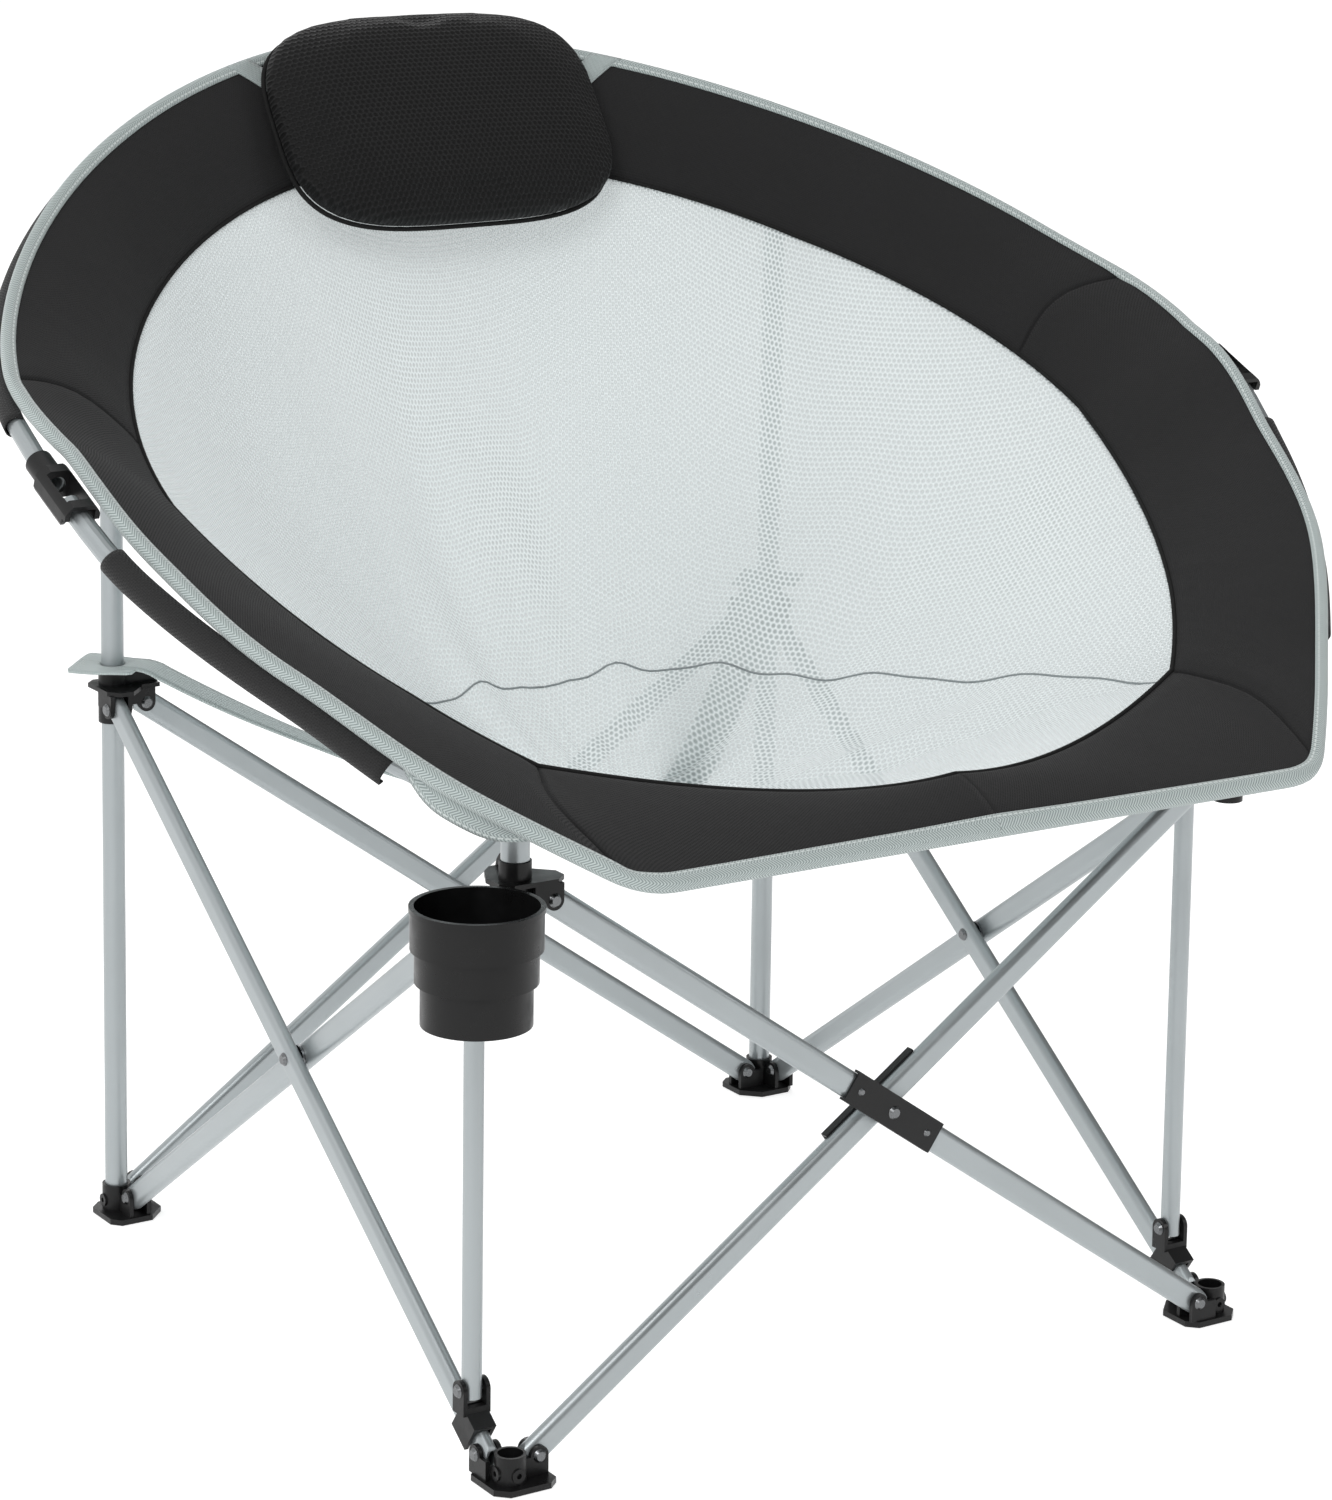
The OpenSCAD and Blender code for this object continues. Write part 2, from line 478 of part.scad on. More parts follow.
// elbow: collar on the back tube's end and two cheeks that carry the side tube's pin;
// a short roof stops the side tube in line with the back tube
module elbow(s) color(black) mirror([s < 0 ? 1 : 0, 0, 0]) translate(elbow_at) rotate([elbow_rise, 0, 0]) {
    difference() {
        union() {
            translate([0, 40, 0]) bar_y(rim_d / 2 + 2.4, 26);
            // cheeks, roof and back wall, rounded off to a barrel round the side tube
            intersection() {
                union() {
                    for (c = [-1, 1]) translate([c > 0 ? side_d / 2 + 2.5 : -side_d / 2 - 3.5, 0, 0]) {
                        bar_x(9, 3.6);
                        translate([-1.8, 0, -9]) cube([3.6, 34, 18]);
                        translate([-1.8, -13, 0]) cube([3.6, 13, 10]);
                    }
                    translate([-side_d / 2 - 5.3, -13, side_d / 2 + play]) cube([side_d + 9.6, 8, 3]);
                    translate([-side_d / 2 - 5.3, 26, -9]) cube([side_d + 9.6, 8, 20]);
                }
                translate([-0.5, 0, 0]) bar_y(side_d / 2 + 5.4, 120);
            }
        }
        translate([0, 60, 0]) bar_y(rim_d / 2 + 0.1, 80);
    }
    bar_x(3, side_d + 8);
}
module elbow_left() elbow(-1);
module elbow_right() elbow(1);

// ---------- cup holder ----------
cup_at = [-half - 51, -half - 42, hub_pivot_z + 15 - cup_h];
module cup_holder() color(black) {
    z = cup_at[2];
    difference() {
        union() {
            translate(cup_at) {
                cylinder(d = cup_d - 14, h = cup_h * 0.36 + 0.1);
                translate([0, 0, cup_h * 0.36]) cylinder(d = cup_d - 7, h = cup_h * 0.28 + 0.1);
                translate([0, 0, cup_h * 0.64]) cylinder(d = cup_d - 1.5, h = cup_h * 0.36);
                translate([0, 0, cup_h - 3]) cylinder(d = cup_d, h = 3);
            }
            // arm back to the strut, ending in a clip
            d = [left_strut_x - cup_at[0], strut_y - cup_at[1]];
            translate([cup_at[0], cup_at[1], z + 6]) rotate([0, 0, atan2(d[1], d[0])]) translate([0, -5, 0]) cube([norm(d), 10, 22]);
            translate([left_strut_x, strut_y, z + 6]) cylinder(r = strut_d / 2 + 2.6, h = 22);
        }
        translate([cup_at[0], cup_at[1], z + 3]) {
            cylinder(d = cup_d - 14 - 2 * cup_wall, h = cup_h);
            translate([0, 0, cup_h * 0.36]) cylinder(d = cup_d - 7 - 2 * cup_wall, h = cup_h);
            translate([0, 0, cup_h * 0.64]) cylinder(d = cup_d - 1.5 - 2 * cup_wall, h = cup_h);
        }
        translate([left_strut_x, strut_y, z]) cylinder(r = strut_d / 2 + 0.1, h = 60);
        // the clip is open towards the tube that turns past it
        translate([-half + 0.7, strut_y - 20, z]) cube([20, 40, 60]);
    }
}

// ---------- soft pieces ----------
// closed skin between two grids of points, rows by columns; a row may end in one shared point
module skin(a, b) {
    r = len(a); c = len(a[0]); q = r * c;
    pts = concat([for (row = a) each row], [for (row = b) each row]);
    faces = concat(
        [for (i = [0:r-2], j = [0:c-2]) each [[i*c+j, i*c+j+1, (i+1)*c+j+1], [i*c+j, (i+1)*c+j+1, (i+1)*c+j]]],
        [for (i = [0:r-2], j = [0:c-2]) each [[q+i*c+j, q+(i+1)*c+j+1, q+i*c+j+1], [q+i*c+j, q+(i+1)*c+j, q+(i+1)*c+j+1]]],
        [for (i = [0:r-2]) each [[i*c, (i+1)*c, q+(i+1)*c], [i*c, q+(i+1)*c, q+i*c]]],
        [for (i = [0:r-2]) let(e = c-1) each [[i*c+e, q+i*c+e, q+(i+1)*c+e], [i*c+e, q+(i+1)*c+e, (i+1)*c+e]]],
        [for (j = [0:c-2]) each [[j, q+j, q+j+1], [j, q+j+1, j+1]]],
        [for (j = [0:c-2]) let(e = (r-1)*c) each [[e+j, e+j+1, q+e+j+1], [e+j, q+e+j+1, q+e+j]]]);
    polyhedron(pts, [for (f = faces) [f[2], f[1], f[0]]]);
}

// stations round the rim: the right half runs from the back over the side to the middle of
// the front, the left half back again
right_u = concat([0.0004], [for (i = [1:10]) i / 10], [for (i = [1:12]) 1 + i / 12], [2.25, 2.5, 2.75, 2.999]);
left_u = [for (i = [len(right_u)-1:-1:0]) -right_u[i]];
function side_of(p, u) = [u < 0 ? -p[0] : p[0], p[1]];

// band section: w runs 0 at the inner edge to 1 at the rim
function band_pt(u, w, n) = let(p = side_of(edge(abs(u)) * w + inner(abs(u)) * (1 - w), u))
    lift(p, raise(abs(u)) * w + dip_at(abs(u)) * (1 - w) + n);
function band_rows(us, n, crown) = [for (u = us) [for (w = [0, 0.12, 0.35, 0.65, 0.9, 1])
    band_pt(u, w, n + crown * sin(180 * w))]];
module band_left() color(cloth) skin(band_rows(left_u, band_t / 2, 5), band_rows(left_u, -band_t / 2, 0));
module band_right() color(cloth) skin(band_rows(right_u, band_t / 2, 5), band_rows(right_u, -band_t / 2, 0));

// tape round the edge of the band, down to the sleeve
function across(u0, u1) = let(d = unit(edge(u1) - edge(u0))) [-d[1], d[0]];
function edge_out(u) = let(a = across(max(u - 0.01, 0), u), b = u > 2.99 ? a : across(u, min(u + 0.01, 3))) (a + b) / (1 + a * b);
function tape_pt(u, off, n) = lift(side_of(edge(abs(u)) + off * edge_out(max(abs(u), 0.001)), u), n);
module tape_strip(us) skin([for (u = us) [tape_pt(u, 0.3, raise(abs(u)) + band_t / 2 + 0.6), tape_pt(u, 0.3, raise(abs(u)) - band_t / 2)]],
    [for (u = us) [tape_pt(u, 1.8, raise(abs(u)) + band_t / 2 + 0.6), tape_pt(u, 1.8, raise(abs(u)) - band_t / 2)]]);
module binding_left() color(tape) mirror([1, 0, 0]) tape_strip(right_u);
module binding_right() color(tape) mirror([1, 0, 0]) tape_strip(left_u);

// mesh bucket: rays from the band's inner edge to the lowest point
dip = [0, 40];
function ray_power(u) = 2 - 0.9 * ease((abs(u) - 1.2) / 1.3);
function bowl_h(r, p) = (pow(r * r + 0.02, p / 2) - pow(0.02, p / 2)) / (pow(1.02, p / 2) - pow(0.02, p / 2));
function bowl_pt(u, r) = let(e = side_of(inner(abs(u)), u), g = r * (1 - (mesh_t + 0.4) / norm(e - dip)), q = dip + (e - dip) * g,
    top = lift(e, dip_at(abs(u)))) [q[0] + (top[0] - e[0]) * g, q[1] + (top[1] - e[1]) * g, bucket_z + (top[2] - bucket_z) * bowl_h(r, ray_power(u))];
bowl_r = [1, 0.93, 0.84, 0.72, 0.58, 0.44, 0.3, 0.16];
// outward side of the mesh: each point moved down and away from the bucket's inside
function away(u, r) = let(a = bowl_pt(u, min(1, r + 0.02)), b = bowl_pt(u, r - 0.02), d = unit(a - b),
    o = unit([d[0], d[1], 0.0001])) unit([o[0] * d[2], o[1] * d[2], -norm([d[0], d[1]])]);
module bowl(us) {
    apex = [us[0] < 0 ? -0.2 : 0.2, dip[1], bucket_z];
    n = len(us); m = len(bowl_r);
    a = [for (u = us) each [for (r = bowl_r) bowl_pt(u, r)]];
    b = [for (u = us) each [for (r = bowl_r) bowl_pt(u, r) + mesh_t * away(u, r)]];
    q = n * m; c = 2 * q;
    pts = concat(a, b, [apex, apex - [0, 0, mesh_t]]);
    faces = concat(
        [for (i = [0:n-2], j = [0:m-2]) each [[i*m+j, (i+1)*m+j, (i+1)*m+j+1], [i*m+j, (i+1)*m+j+1, i*m+j+1]]],
        [for (i = [0:n-2]) [i*m+m-1, (i+1)*m+m-1, c]],
        [for (i = [0:n-2], j = [0:m-2]) each [[q+i*m+j, q+(i+1)*m+j+1, q+(i+1)*m+j], [q+i*m+j, q+i*m+j+1, q+(i+1)*m+j+1]]],
        [for (i = [0:n-2]) [q+i*m+m-1, c+1, q+(i+1)*m+m-1]],
        [for (i = [0:n-2]) each [[i*m, q+i*m, q+(i+1)*m], [i*m, q+(i+1)*m, (i+1)*m]]],
        [for (j = [0:m-2]) each [[j, j+1, q+j+1], [j, q+j+1, q+j]]],
        [[m-1, c, c+1], [m-1, c+1, q+m-1]],
        [for (j = [0:m-2]) let(e = (n-1)*m) each [[e+j, q+e+j+1, e+j+1], [e+j, q+e+j, q+e+j+1]]],
        let(e = (n-1)*m) [[e+m-1, c+1, c], [e+m-1, q+e+m-1, c+1]]);
    polyhedron(pts, [for (f = faces) [f[2], f[1], f[0]]]);
}
module mesh_left() color(pale) bowl(left_u);
module mesh_right() color(pale) bowl(right_u);

// cloth sleeve round each side tube
function sleeve_path(s) = concat([for (i = [0:6]) tube_pt(u_elbow + 0.12 + (u_leave - u_elbow - 0.12) * i / 6, s)], [run_in(0.125, s), run_in(0.25, s)]);
module sleeve(s) color(cloth) pipe(sleeve_path(s), side_d / 2 + 2, side_d / 2 + 0.35);
module sleeve_left() sleeve(-1);
module sleeve_right() sleeve(1);

// webbing from each rear hub to the bottom of the bucket
strap_w = 30;
strap_end = bowl_pt(1, 0.12);               // under the lowest part of the bucket
patch_w = 48;                              // sewn patch round the post
strap_flat = 32;                            // lies flat on the hub before it sags
strap_hold = hub_pivot_z + hub_top + 0.4;
strap_fall = strap_hold - strap_end[2] + mesh_t + 2.8;
function strap_z(t) = strap_hold - strap_fall * (1 - pow(1 - max(0, t), 1.8));
module strap(s) color(tape) mirror([s < 0 ? 1 : 0, 0, 0]) {
    d = [strap_end[0], strap_end[1]] - [half, half];
    l = norm(d);
    rows = concat([-26, 0, 22, strap_flat], [for (i = [1:8]) strap_flat + (l - strap_flat) * i / 8]);
    difference() {
        translate([half, half, 0]) rotate([0, 0, atan2(d[1], d[0])]) skin(
            [for (x = rows) [for (y = [-1, 1]) [x, y * (x < 23 ? patch_w : strap_w) / 2, strap_z((x - strap_flat) / (l - strap_flat)) + 2]]],
            [for (x = rows) [for (y = [-1, 1]) [x, y * (x < 23 ? patch_w : strap_w) / 2, strap_z((x - strap_flat) / (l - strap_flat))]]]);
        translate([half, half, strap_hold - 60]) cylinder(r = post_d / 2 + 0.6, h = 120);
    }
}
module strap_left() strap(-1);
module strap_right() strap(1);

// headrest pillow: rounded rectangle with a crown, leaning on the band
pillow_at = [9, 314.6, 774.5];
pillow_tilt = 54;
function squircle(a, p) = [sign(cos(a)) * pow(abs(cos(a)), p), sign(sin(a)) * pow(abs(sin(a)), p)];
module pillow() color(cloth) translate(pillow_at) rotate([pillow_tilt, 0, 0]) {
    n = 36;
    rows = [[0.10, 1], [0.45, 0.97], [0.75, 0.86], [0.92, 0.62], [1, 0.2], [1, -0.2], [0.92, -0.62], [0.75, -0.86], [0.45, -0.97], [0.10, -1]];
    m = len(rows);
    pts = concat([for (r = rows) each [for (k = [0:n-1]) let(s = squircle(360 * k / n, 0.55))
        [s[0] * r[0] * pillow_w / 2, s[1] * r[0] * pillow_h / 2, r[1] * pillow_t / 2]]], [[0, 0, pillow_t / 2], [0, 0, -pillow_t / 2]]);
    c = n * m;
    polyhedron(pts, concat(
        [for (i = [0:m-2], k = [0:n-1]) each [[i*n+k, (i+1)*n+(k+1)%n, (i+1)*n+k], [i*n+k, i*n+(k+1)%n, (i+1)*n+(k+1)%n]]],
        [for (k = [0:n-1]) [c, (k+1)%n, k]],
        [for (k = [0:n-1]) [c+1, (m-1)*n+k, (m-1)*n+(k+1)%n]]));
}

foot_rear_left();
foot_rear_right();
foot_front_left();
foot_front_right();
hub_rear_left();
hub_rear_right();
hub_front_left();
hub_front_right();
left_rising_tube();
left_falling_tube();
back_rising_tube();
back_falling_tube();
right_rising_tube();
right_falling_tube();
front_rising_tube();
front_falling_tube();
rivets_left_rising();
rivets_left_falling();
rivets_back_rising();
rivets_back_falling();
rivets_right_rising();
rivets_right_falling();
rivets_front_rising();
rivets_front_falling();
plate_front_rising();
plate_front_falling();
post_rear_left();
post_rear_right();
post_head_left();
post_head_right();
upright_front_left();
upright_front_right();
seat_rest_left();
seat_rest_right();
strut_left();
strut_right();
strut_rivets_left();
strut_rivets_right();
saddle_left();
saddle_right();
rim_back_left();
rim_back_right();
rim_lug_left();
rim_lug_right();
elbow_left();
elbow_right();
rim_side_left();
rim_side_right();
cup_holder();
band_left();
band_right();
binding_left();
binding_right();
mesh_left();
mesh_right();
sleeve_left();
sleeve_right();
strap_left();
strap_right();
pillow();
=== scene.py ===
from math import atan2, cos, exp, hypot, pi, radians, sin, sqrt, tan

import bmesh
import bpy
from mathutils import Matrix, Vector
from mathutils.bvhtree import BVHTree


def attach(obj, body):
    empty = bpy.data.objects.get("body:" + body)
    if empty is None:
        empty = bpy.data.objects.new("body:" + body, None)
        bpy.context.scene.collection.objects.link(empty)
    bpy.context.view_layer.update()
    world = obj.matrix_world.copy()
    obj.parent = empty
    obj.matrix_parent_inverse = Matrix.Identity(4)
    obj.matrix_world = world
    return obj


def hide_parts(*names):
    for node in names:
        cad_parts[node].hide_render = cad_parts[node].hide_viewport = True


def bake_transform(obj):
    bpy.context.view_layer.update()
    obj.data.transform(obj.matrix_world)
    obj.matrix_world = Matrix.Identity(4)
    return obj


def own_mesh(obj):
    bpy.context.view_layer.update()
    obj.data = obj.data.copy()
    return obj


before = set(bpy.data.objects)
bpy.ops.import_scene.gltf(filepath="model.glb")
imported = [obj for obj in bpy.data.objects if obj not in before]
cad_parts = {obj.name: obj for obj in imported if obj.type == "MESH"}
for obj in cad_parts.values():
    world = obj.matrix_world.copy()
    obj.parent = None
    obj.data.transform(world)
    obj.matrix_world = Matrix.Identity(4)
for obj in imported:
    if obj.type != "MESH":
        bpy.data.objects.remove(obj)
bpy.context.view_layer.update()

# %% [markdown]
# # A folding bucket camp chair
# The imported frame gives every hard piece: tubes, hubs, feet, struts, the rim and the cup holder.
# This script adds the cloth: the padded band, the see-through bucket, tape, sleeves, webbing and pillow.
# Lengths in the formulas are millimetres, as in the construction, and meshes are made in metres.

MM = 0.001
SIDES = {"left": -1, "right": 1}

# %% [markdown]
# ## Camera
# The camera looks down at the chair from the front left, through a long lens. It could be aimed at the
# middle of the chair, but then the posts would lean together more. So the lens axis stays well above the
# middle of the frame, and the frame is shifted down.

# %% Camera
PITCH, TURN, ROLL = radians(10.12), radians(32.69), radians(0.80)
FOCAL_PX, FRAME_W_PX, FRAME_H_PX, AXIS_ROW_PX = 4619, 1332, 1500, 364.2
SENSOR_MM = 36
AIM_HEIGHT, DISTANCE, ASIDE = 0.641, 3.134, 0.00327
ahead = Vector((sin(TURN) * cos(PITCH), cos(TURN) * cos(PITCH), -sin(PITCH)))
across = Vector((cos(TURN), -sin(TURN), 0))
upward = across.cross(ahead)
right = across * cos(ROLL) + upward * sin(ROLL)
over = upward * cos(ROLL) - across * sin(ROLL)
lens = bpy.data.cameras.new("camera")
lens.sensor_fit = "HORIZONTAL"
lens.sensor_width = SENSOR_MM
lens.lens = SENSOR_MM * FOCAL_PX / FRAME_W_PX
lens.shift_y = (AXIS_ROW_PX - FRAME_H_PX / 2) / FRAME_W_PX
lens.clip_end = 60
camera = bpy.data.objects.new("camera", lens)
place = across * ASIDE + Vector((0, 0, AIM_HEIGHT)) - ahead * DISTANCE
camera.matrix_world = Matrix((
    (right.x, over.x, -ahead.x, place.x), (right.y, over.y, -ahead.y, place.y),
    (right.z, over.z, -ahead.z, place.z), (0, 0, 0, 1)))
bpy.context.scene.collection.objects.link(camera)
bpy.context.scene.camera = camera
print("camera at", [round(c, 3) for c in place])

# %% [markdown]
# ## Shader building blocks
# The real cloth has three patterns: woven threads, a lattice of round holes, and rows of stitches.
# They could be painted images or modelled threads. Node groups are used, because several materials share
# them, they stay sharp at any distance, and they need no millions of faces. All read a vector in metres.


# %% Helpers for shader nodes
def arith(tree, operation, a, b=None, c=None):
    node = tree.nodes.new("ShaderNodeMath")
    node.operation = operation
    for socket, value in zip(node.inputs, (a, b, c)):
        if value is None:
            continue
        if isinstance(value, (int, float)):
            socket.default_value = value
        else:
            tree.links.new(value, socket)
    return node.outputs[0]


def vector(tree, operation, a, b=None):
    node = tree.nodes.new("ShaderNodeVectorMath")
    node.operation = operation
    for socket, value in zip(node.inputs, (a, b)):
        if value is None:
            continue
        if isinstance(value, tuple):
            socket.default_value = value
        else:
            tree.links.new(value, socket)
    return node.outputs["Value"] if operation == "LENGTH" else node.outputs["Vector"]


def smooth(tree, value, low, high):
    node = tree.nodes.new("ShaderNodeMapRange")
    node.interpolation_type = "SMOOTHSTEP"
    tree.links.new(value, node.inputs["Value"])
    for name, limit in (("From Min", low), ("From Max", high)):
        if isinstance(limit, (int, float)):
            node.inputs[name].default_value = limit
        else:
            tree.links.new(limit, node.inputs[name])
    return node.outputs["Result"]


def group(name, inputs, outputs):
    tree = bpy.data.node_groups.new(name, "ShaderNodeTree")
    for label, kind, value in inputs:
        socket = tree.interface.new_socket(label, in_out="INPUT", socket_type=kind)
        if value is not None:
            socket.default_value = value
    for label in outputs:
        tree.interface.new_socket(label, in_out="OUTPUT", socket_type="NodeSocketFloat")
    return tree, tree.nodes.new("NodeGroupInput").outputs, tree.nodes.new("NodeGroupOutput").inputs


FLOAT, VECTOR = "NodeSocketFloat", "NodeSocketVector"

# %% Round holes on a hexagonal lattice
holes, given, result = group(
    "Hexagonal holes", [("Vector", VECTOR, None), ("Pitch", FLOAT, 0.003), ("Radius", FLOAT, 0.3)],
    ["Open", "Height"])
inverse = arith(holes, "DIVIDE", 1.0, given["Pitch"])
scaler = holes.nodes.new("ShaderNodeVectorMath")
scaler.operation = "SCALE"
holes.links.new(given["Vector"], scaler.inputs[0])
holes.links.new(inverse, scaler.inputs["Scale"])
cell = vector(holes, "MULTIPLY", scaler.outputs[0], (1, 1 / sqrt(3), 0))
distances = []
for start in (0.0, 0.5):
    step = vector(holes, "FRACTION", vector(holes, "ADD", cell, (start, start, 0)))
    centred = vector(holes, "SUBTRACT", step, (0.5, 0.5, 0))
    distances.append(vector(holes, "LENGTH", vector(holes, "MULTIPLY", centred, (1, sqrt(3), 0))))
nearest = arith(holes, "MINIMUM", *distances)
edge_low = arith(holes, "SUBTRACT", given["Radius"], 0.05)
edge_high = arith(holes, "ADD", given["Radius"], 0.05)
holes.links.new(arith(holes, "SUBTRACT", 1.0, smooth(holes, nearest, edge_low, edge_high)), result["Open"])
holes.links.new(smooth(holes, nearest, edge_low, 0.62), result["Height"])

# %% Plain weave and herringbone
weave, given, result = group("Plain weave", [("Vector", VECTOR, None), ("Pitch", FLOAT, 0.001)], ["Height"])
parts = weave.nodes.new("ShaderNodeSeparateXYZ")
weave.links.new(given["Vector"], parts.inputs[0])
waves = [arith(weave, "SINE", arith(weave, "DIVIDE", arith(weave, "MULTIPLY", parts.outputs[axis], pi),
                                  given["Pitch"])) for axis in ("X", "Y")]
over_under = arith(weave, "GREATER_THAN", arith(weave, "MULTIPLY", *waves), 0.0)
warp, weft = (arith(weave, "ABSOLUTE", wave) for wave in waves)
mixed = arith(weave, "ADD", arith(weave, "MULTIPLY", over_under, warp),
             arith(weave, "MULTIPLY", arith(weave, "SUBTRACT", 1.0, over_under), weft))
weave.links.new(mixed, result["Height"])

twill, given, result = group("Herringbone", [("Vector", VECTOR, None), ("Pitch", FLOAT, 0.0021),
                                             ("Turn", FLOAT, 0.0045)], ["Height"])
parts = twill.nodes.new("ShaderNodeSeparateXYZ")
twill.links.new(given["Vector"], parts.inputs[0])
zigzag = arith(twill, "PINGPONG", parts.outputs["Y"], given["Turn"])
slant = arith(twill, "DIVIDE", arith(twill, "MULTIPLY", arith(twill, "ADD", parts.outputs["X"], zigzag),
                                   2 * pi), given["Pitch"])
twill.links.new(arith(twill, "MULTIPLY_ADD", arith(twill, "SINE", slant), 0.5, 0.5), result["Height"])

# %% A row of stitches at a chosen width of the cloth
stitch, given, result = group(
    "Stitches",
    [("Vector", VECTOR, None), ("Row", FLOAT, 0.0), ("Length", FLOAT, 0.004), ("Width", FLOAT, 0.0006)],
    ["Thread", "Dent"])
parts = stitch.nodes.new("ShaderNodeSeparateXYZ")
stitch.links.new(given["Vector"], parts.inputs[0])
off = arith(stitch, "ABSOLUTE", arith(stitch, "SUBTRACT", parts.outputs["Y"], given["Row"]))
inside = arith(stitch, "LESS_THAN", off, given["Width"])
along = arith(stitch, "FRACT", arith(stitch, "DIVIDE", parts.outputs["X"], given["Length"]))
dash = arith(stitch, "LESS_THAN", arith(stitch, "ABSOLUTE", arith(stitch, "SUBTRACT", along, 0.5)), 0.36)
stitch.links.new(arith(stitch, "MULTIPLY", inside, dash), result["Thread"])
# Dent is the groove beside the row. It makes a bump, and the tape and webbing also paint shade with it
falloff = arith(stitch, "MULTIPLY", given["Width"], 3.0)
dent = arith(stitch, "SUBTRACT", 1.0, smooth(stitch, off, 0.0, falloff))
stitch.links.new(dent, result["Dent"])
print("shader groups:", [g.name for g in bpy.data.node_groups])

# %% [markdown]
# ## Materials
# Every material of the chair starts from one Principled shader and gets a bump. Noise, or the weave
# itself, changes its colour or its roughness a little, because no real surface is even. The tubes are
# painted metal in silver grey, the fittings are moulded plastic with a fine grain, and the cloths differ
# in weave.


# %% Starting point of a material
def material(name, colour, roughness, metallic=0.0, sheen=0.0, coat=0.0):
    mat = bpy.data.materials.new(name)
    mat.use_nodes = True
    tree = mat.node_tree
    shader = tree.nodes["Principled BSDF"]
    shader.inputs["Base Color"].default_value = (*colour, 1)
    shader.inputs["Roughness"].default_value = roughness
    shader.inputs["Metallic"].default_value = metallic
    shader.inputs["Sheen Weight"].default_value = sheen
    shader.inputs["Sheen Roughness"].default_value = 0.5
    shader.inputs["Coat Weight"].default_value = coat
    return mat, tree, shader


def coordinates(tree, name):
    return tree.nodes.new("ShaderNodeTexCoord").outputs[name]


def noise(tree, source, scale, detail=3.0):
    node = tree.nodes.new("ShaderNodeTexNoise")
    tree.links.new(source, node.inputs["Vector"])
    node.inputs["Scale"].default_value = scale
    node.inputs["Detail"].default_value = detail
    return node.outputs["Fac"]


def blend_colours(tree, factor, first, second):
    node = tree.nodes.new("ShaderNodeMix")
    node.data_type = "RGBA"
    tree.links.new(factor, node.inputs["Factor"])
    for socket, value in ((node.inputs["A"], first), (node.inputs["B"], second)):
        if isinstance(value, tuple):
            socket.default_value = (*value, 1)
        else:
            tree.links.new(value, socket)
    return node.outputs["Result"]


def set_colour(tree, shader, colour):
    tree.links.new(colour, shader.inputs["Base Color"])


def bump(tree, shader, height, strength, distance, below=None):
    node = tree.nodes.new("ShaderNodeBump")
    node.inputs["Strength"].default_value = strength
    node.inputs["Distance"].default_value = distance
    tree.links.new(height, node.inputs["Height"])
    if below is not None:
        tree.links.new(below, node.inputs["Normal"])
    tree.links.new(node.outputs["Normal"], shader.inputs["Normal"])
    return node.outputs["Normal"]


def use(tree, shared, source, **values):
    node = tree.nodes.new("ShaderNodeGroup")
    node.node_tree = shared
    tree.links.new(source, node.inputs["Vector"])
    for name, value in values.items():
        node.inputs[name].default_value = value
    return node.outputs


# %% Painted tubes: pale metallic grey with a faint orange-peel
paint, tree, shader = material("painted tube", (0.37, 0.40, 0.41), 0.3, metallic=0.75, coat=0.2)
where = coordinates(tree, "Object")
cloudy = noise(tree, where, 14.0)
set_colour(tree, shader, blend_colours(tree, cloudy, (0.345, 0.375, 0.385), (0.39, 0.42, 0.43)))
tree.links.new(smooth(tree, cloudy, -0.75, 2.3), shader.inputs["Roughness"])
bump(tree, shader, noise(tree, where, 600.0, 1.0), 0.03, 0.0001)

# %% Moulded black plastic, the glossier cup, and the plates on the crossing
plastics = {}
PLASTICS = (("black plastic", 0.005, 0.36, 0.2), ("cup plastic", 0.0035, 0.27, 0.06),
            ("plate plastic", 0.007, 0.42, 0.25))
for name, colour, roughness, grain in PLASTICS:
    mat, tree, shader = material(name, (colour, colour, colour * 1.05), roughness, coat=0.05)
    shader.inputs["Specular IOR Level"].default_value = 0.24
    where = coordinates(tree, "Object")
    patches = noise(tree, where, 60.0)
    lighter = (colour * 1.9, colour * 1.9, colour * 2.0)
    set_colour(tree, shader, blend_colours(tree, patches, (colour, colour, colour), lighter))
    tree.links.new(smooth(tree, patches, -roughness * 2, 2.2), shader.inputs["Roughness"])
    bump(tree, shader, noise(tree, where, 1400.0, 1.0), grain, 0.0003)
    plastics[name] = mat

# %% Rivet steel with fine turning marks
steel, tree, shader = material("rivet steel", (0.17, 0.175, 0.18), 0.3, metallic=1.0)
where = coordinates(tree, "Object")
tree.links.new(smooth(tree, noise(tree, where, 500.0), -0.4, 2.2), shader.inputs["Roughness"])
bump(tree, shader, noise(tree, where, 1800.0, 1.0), 0.15, 0.0002)

# %% Band cloth: charcoal, fine weave, a little lint
band_cloth, tree, shader = material("band cloth", (0.015, 0.015, 0.0155), 0.9, sheen=0.04)
shader.inputs["Specular IOR Level"].default_value = 0.25
sheet = coordinates(tree, "UV")
woven = use(tree, weave, sheet, Pitch=0.0011)["Height"]
worn = noise(tree, sheet, 9.0)
dark = blend_colours(tree, worn, (0.0145, 0.0145, 0.015), (0.0215, 0.0215, 0.022))
set_colour(tree, shader, blend_colours(tree, woven, (0.008, 0.008, 0.0083), dark))
soft = bump(tree, shader, noise(tree, sheet, 30.0), 0.25, 0.004)
bump(tree, shader, woven, 0.5, 0.0004, below=soft)

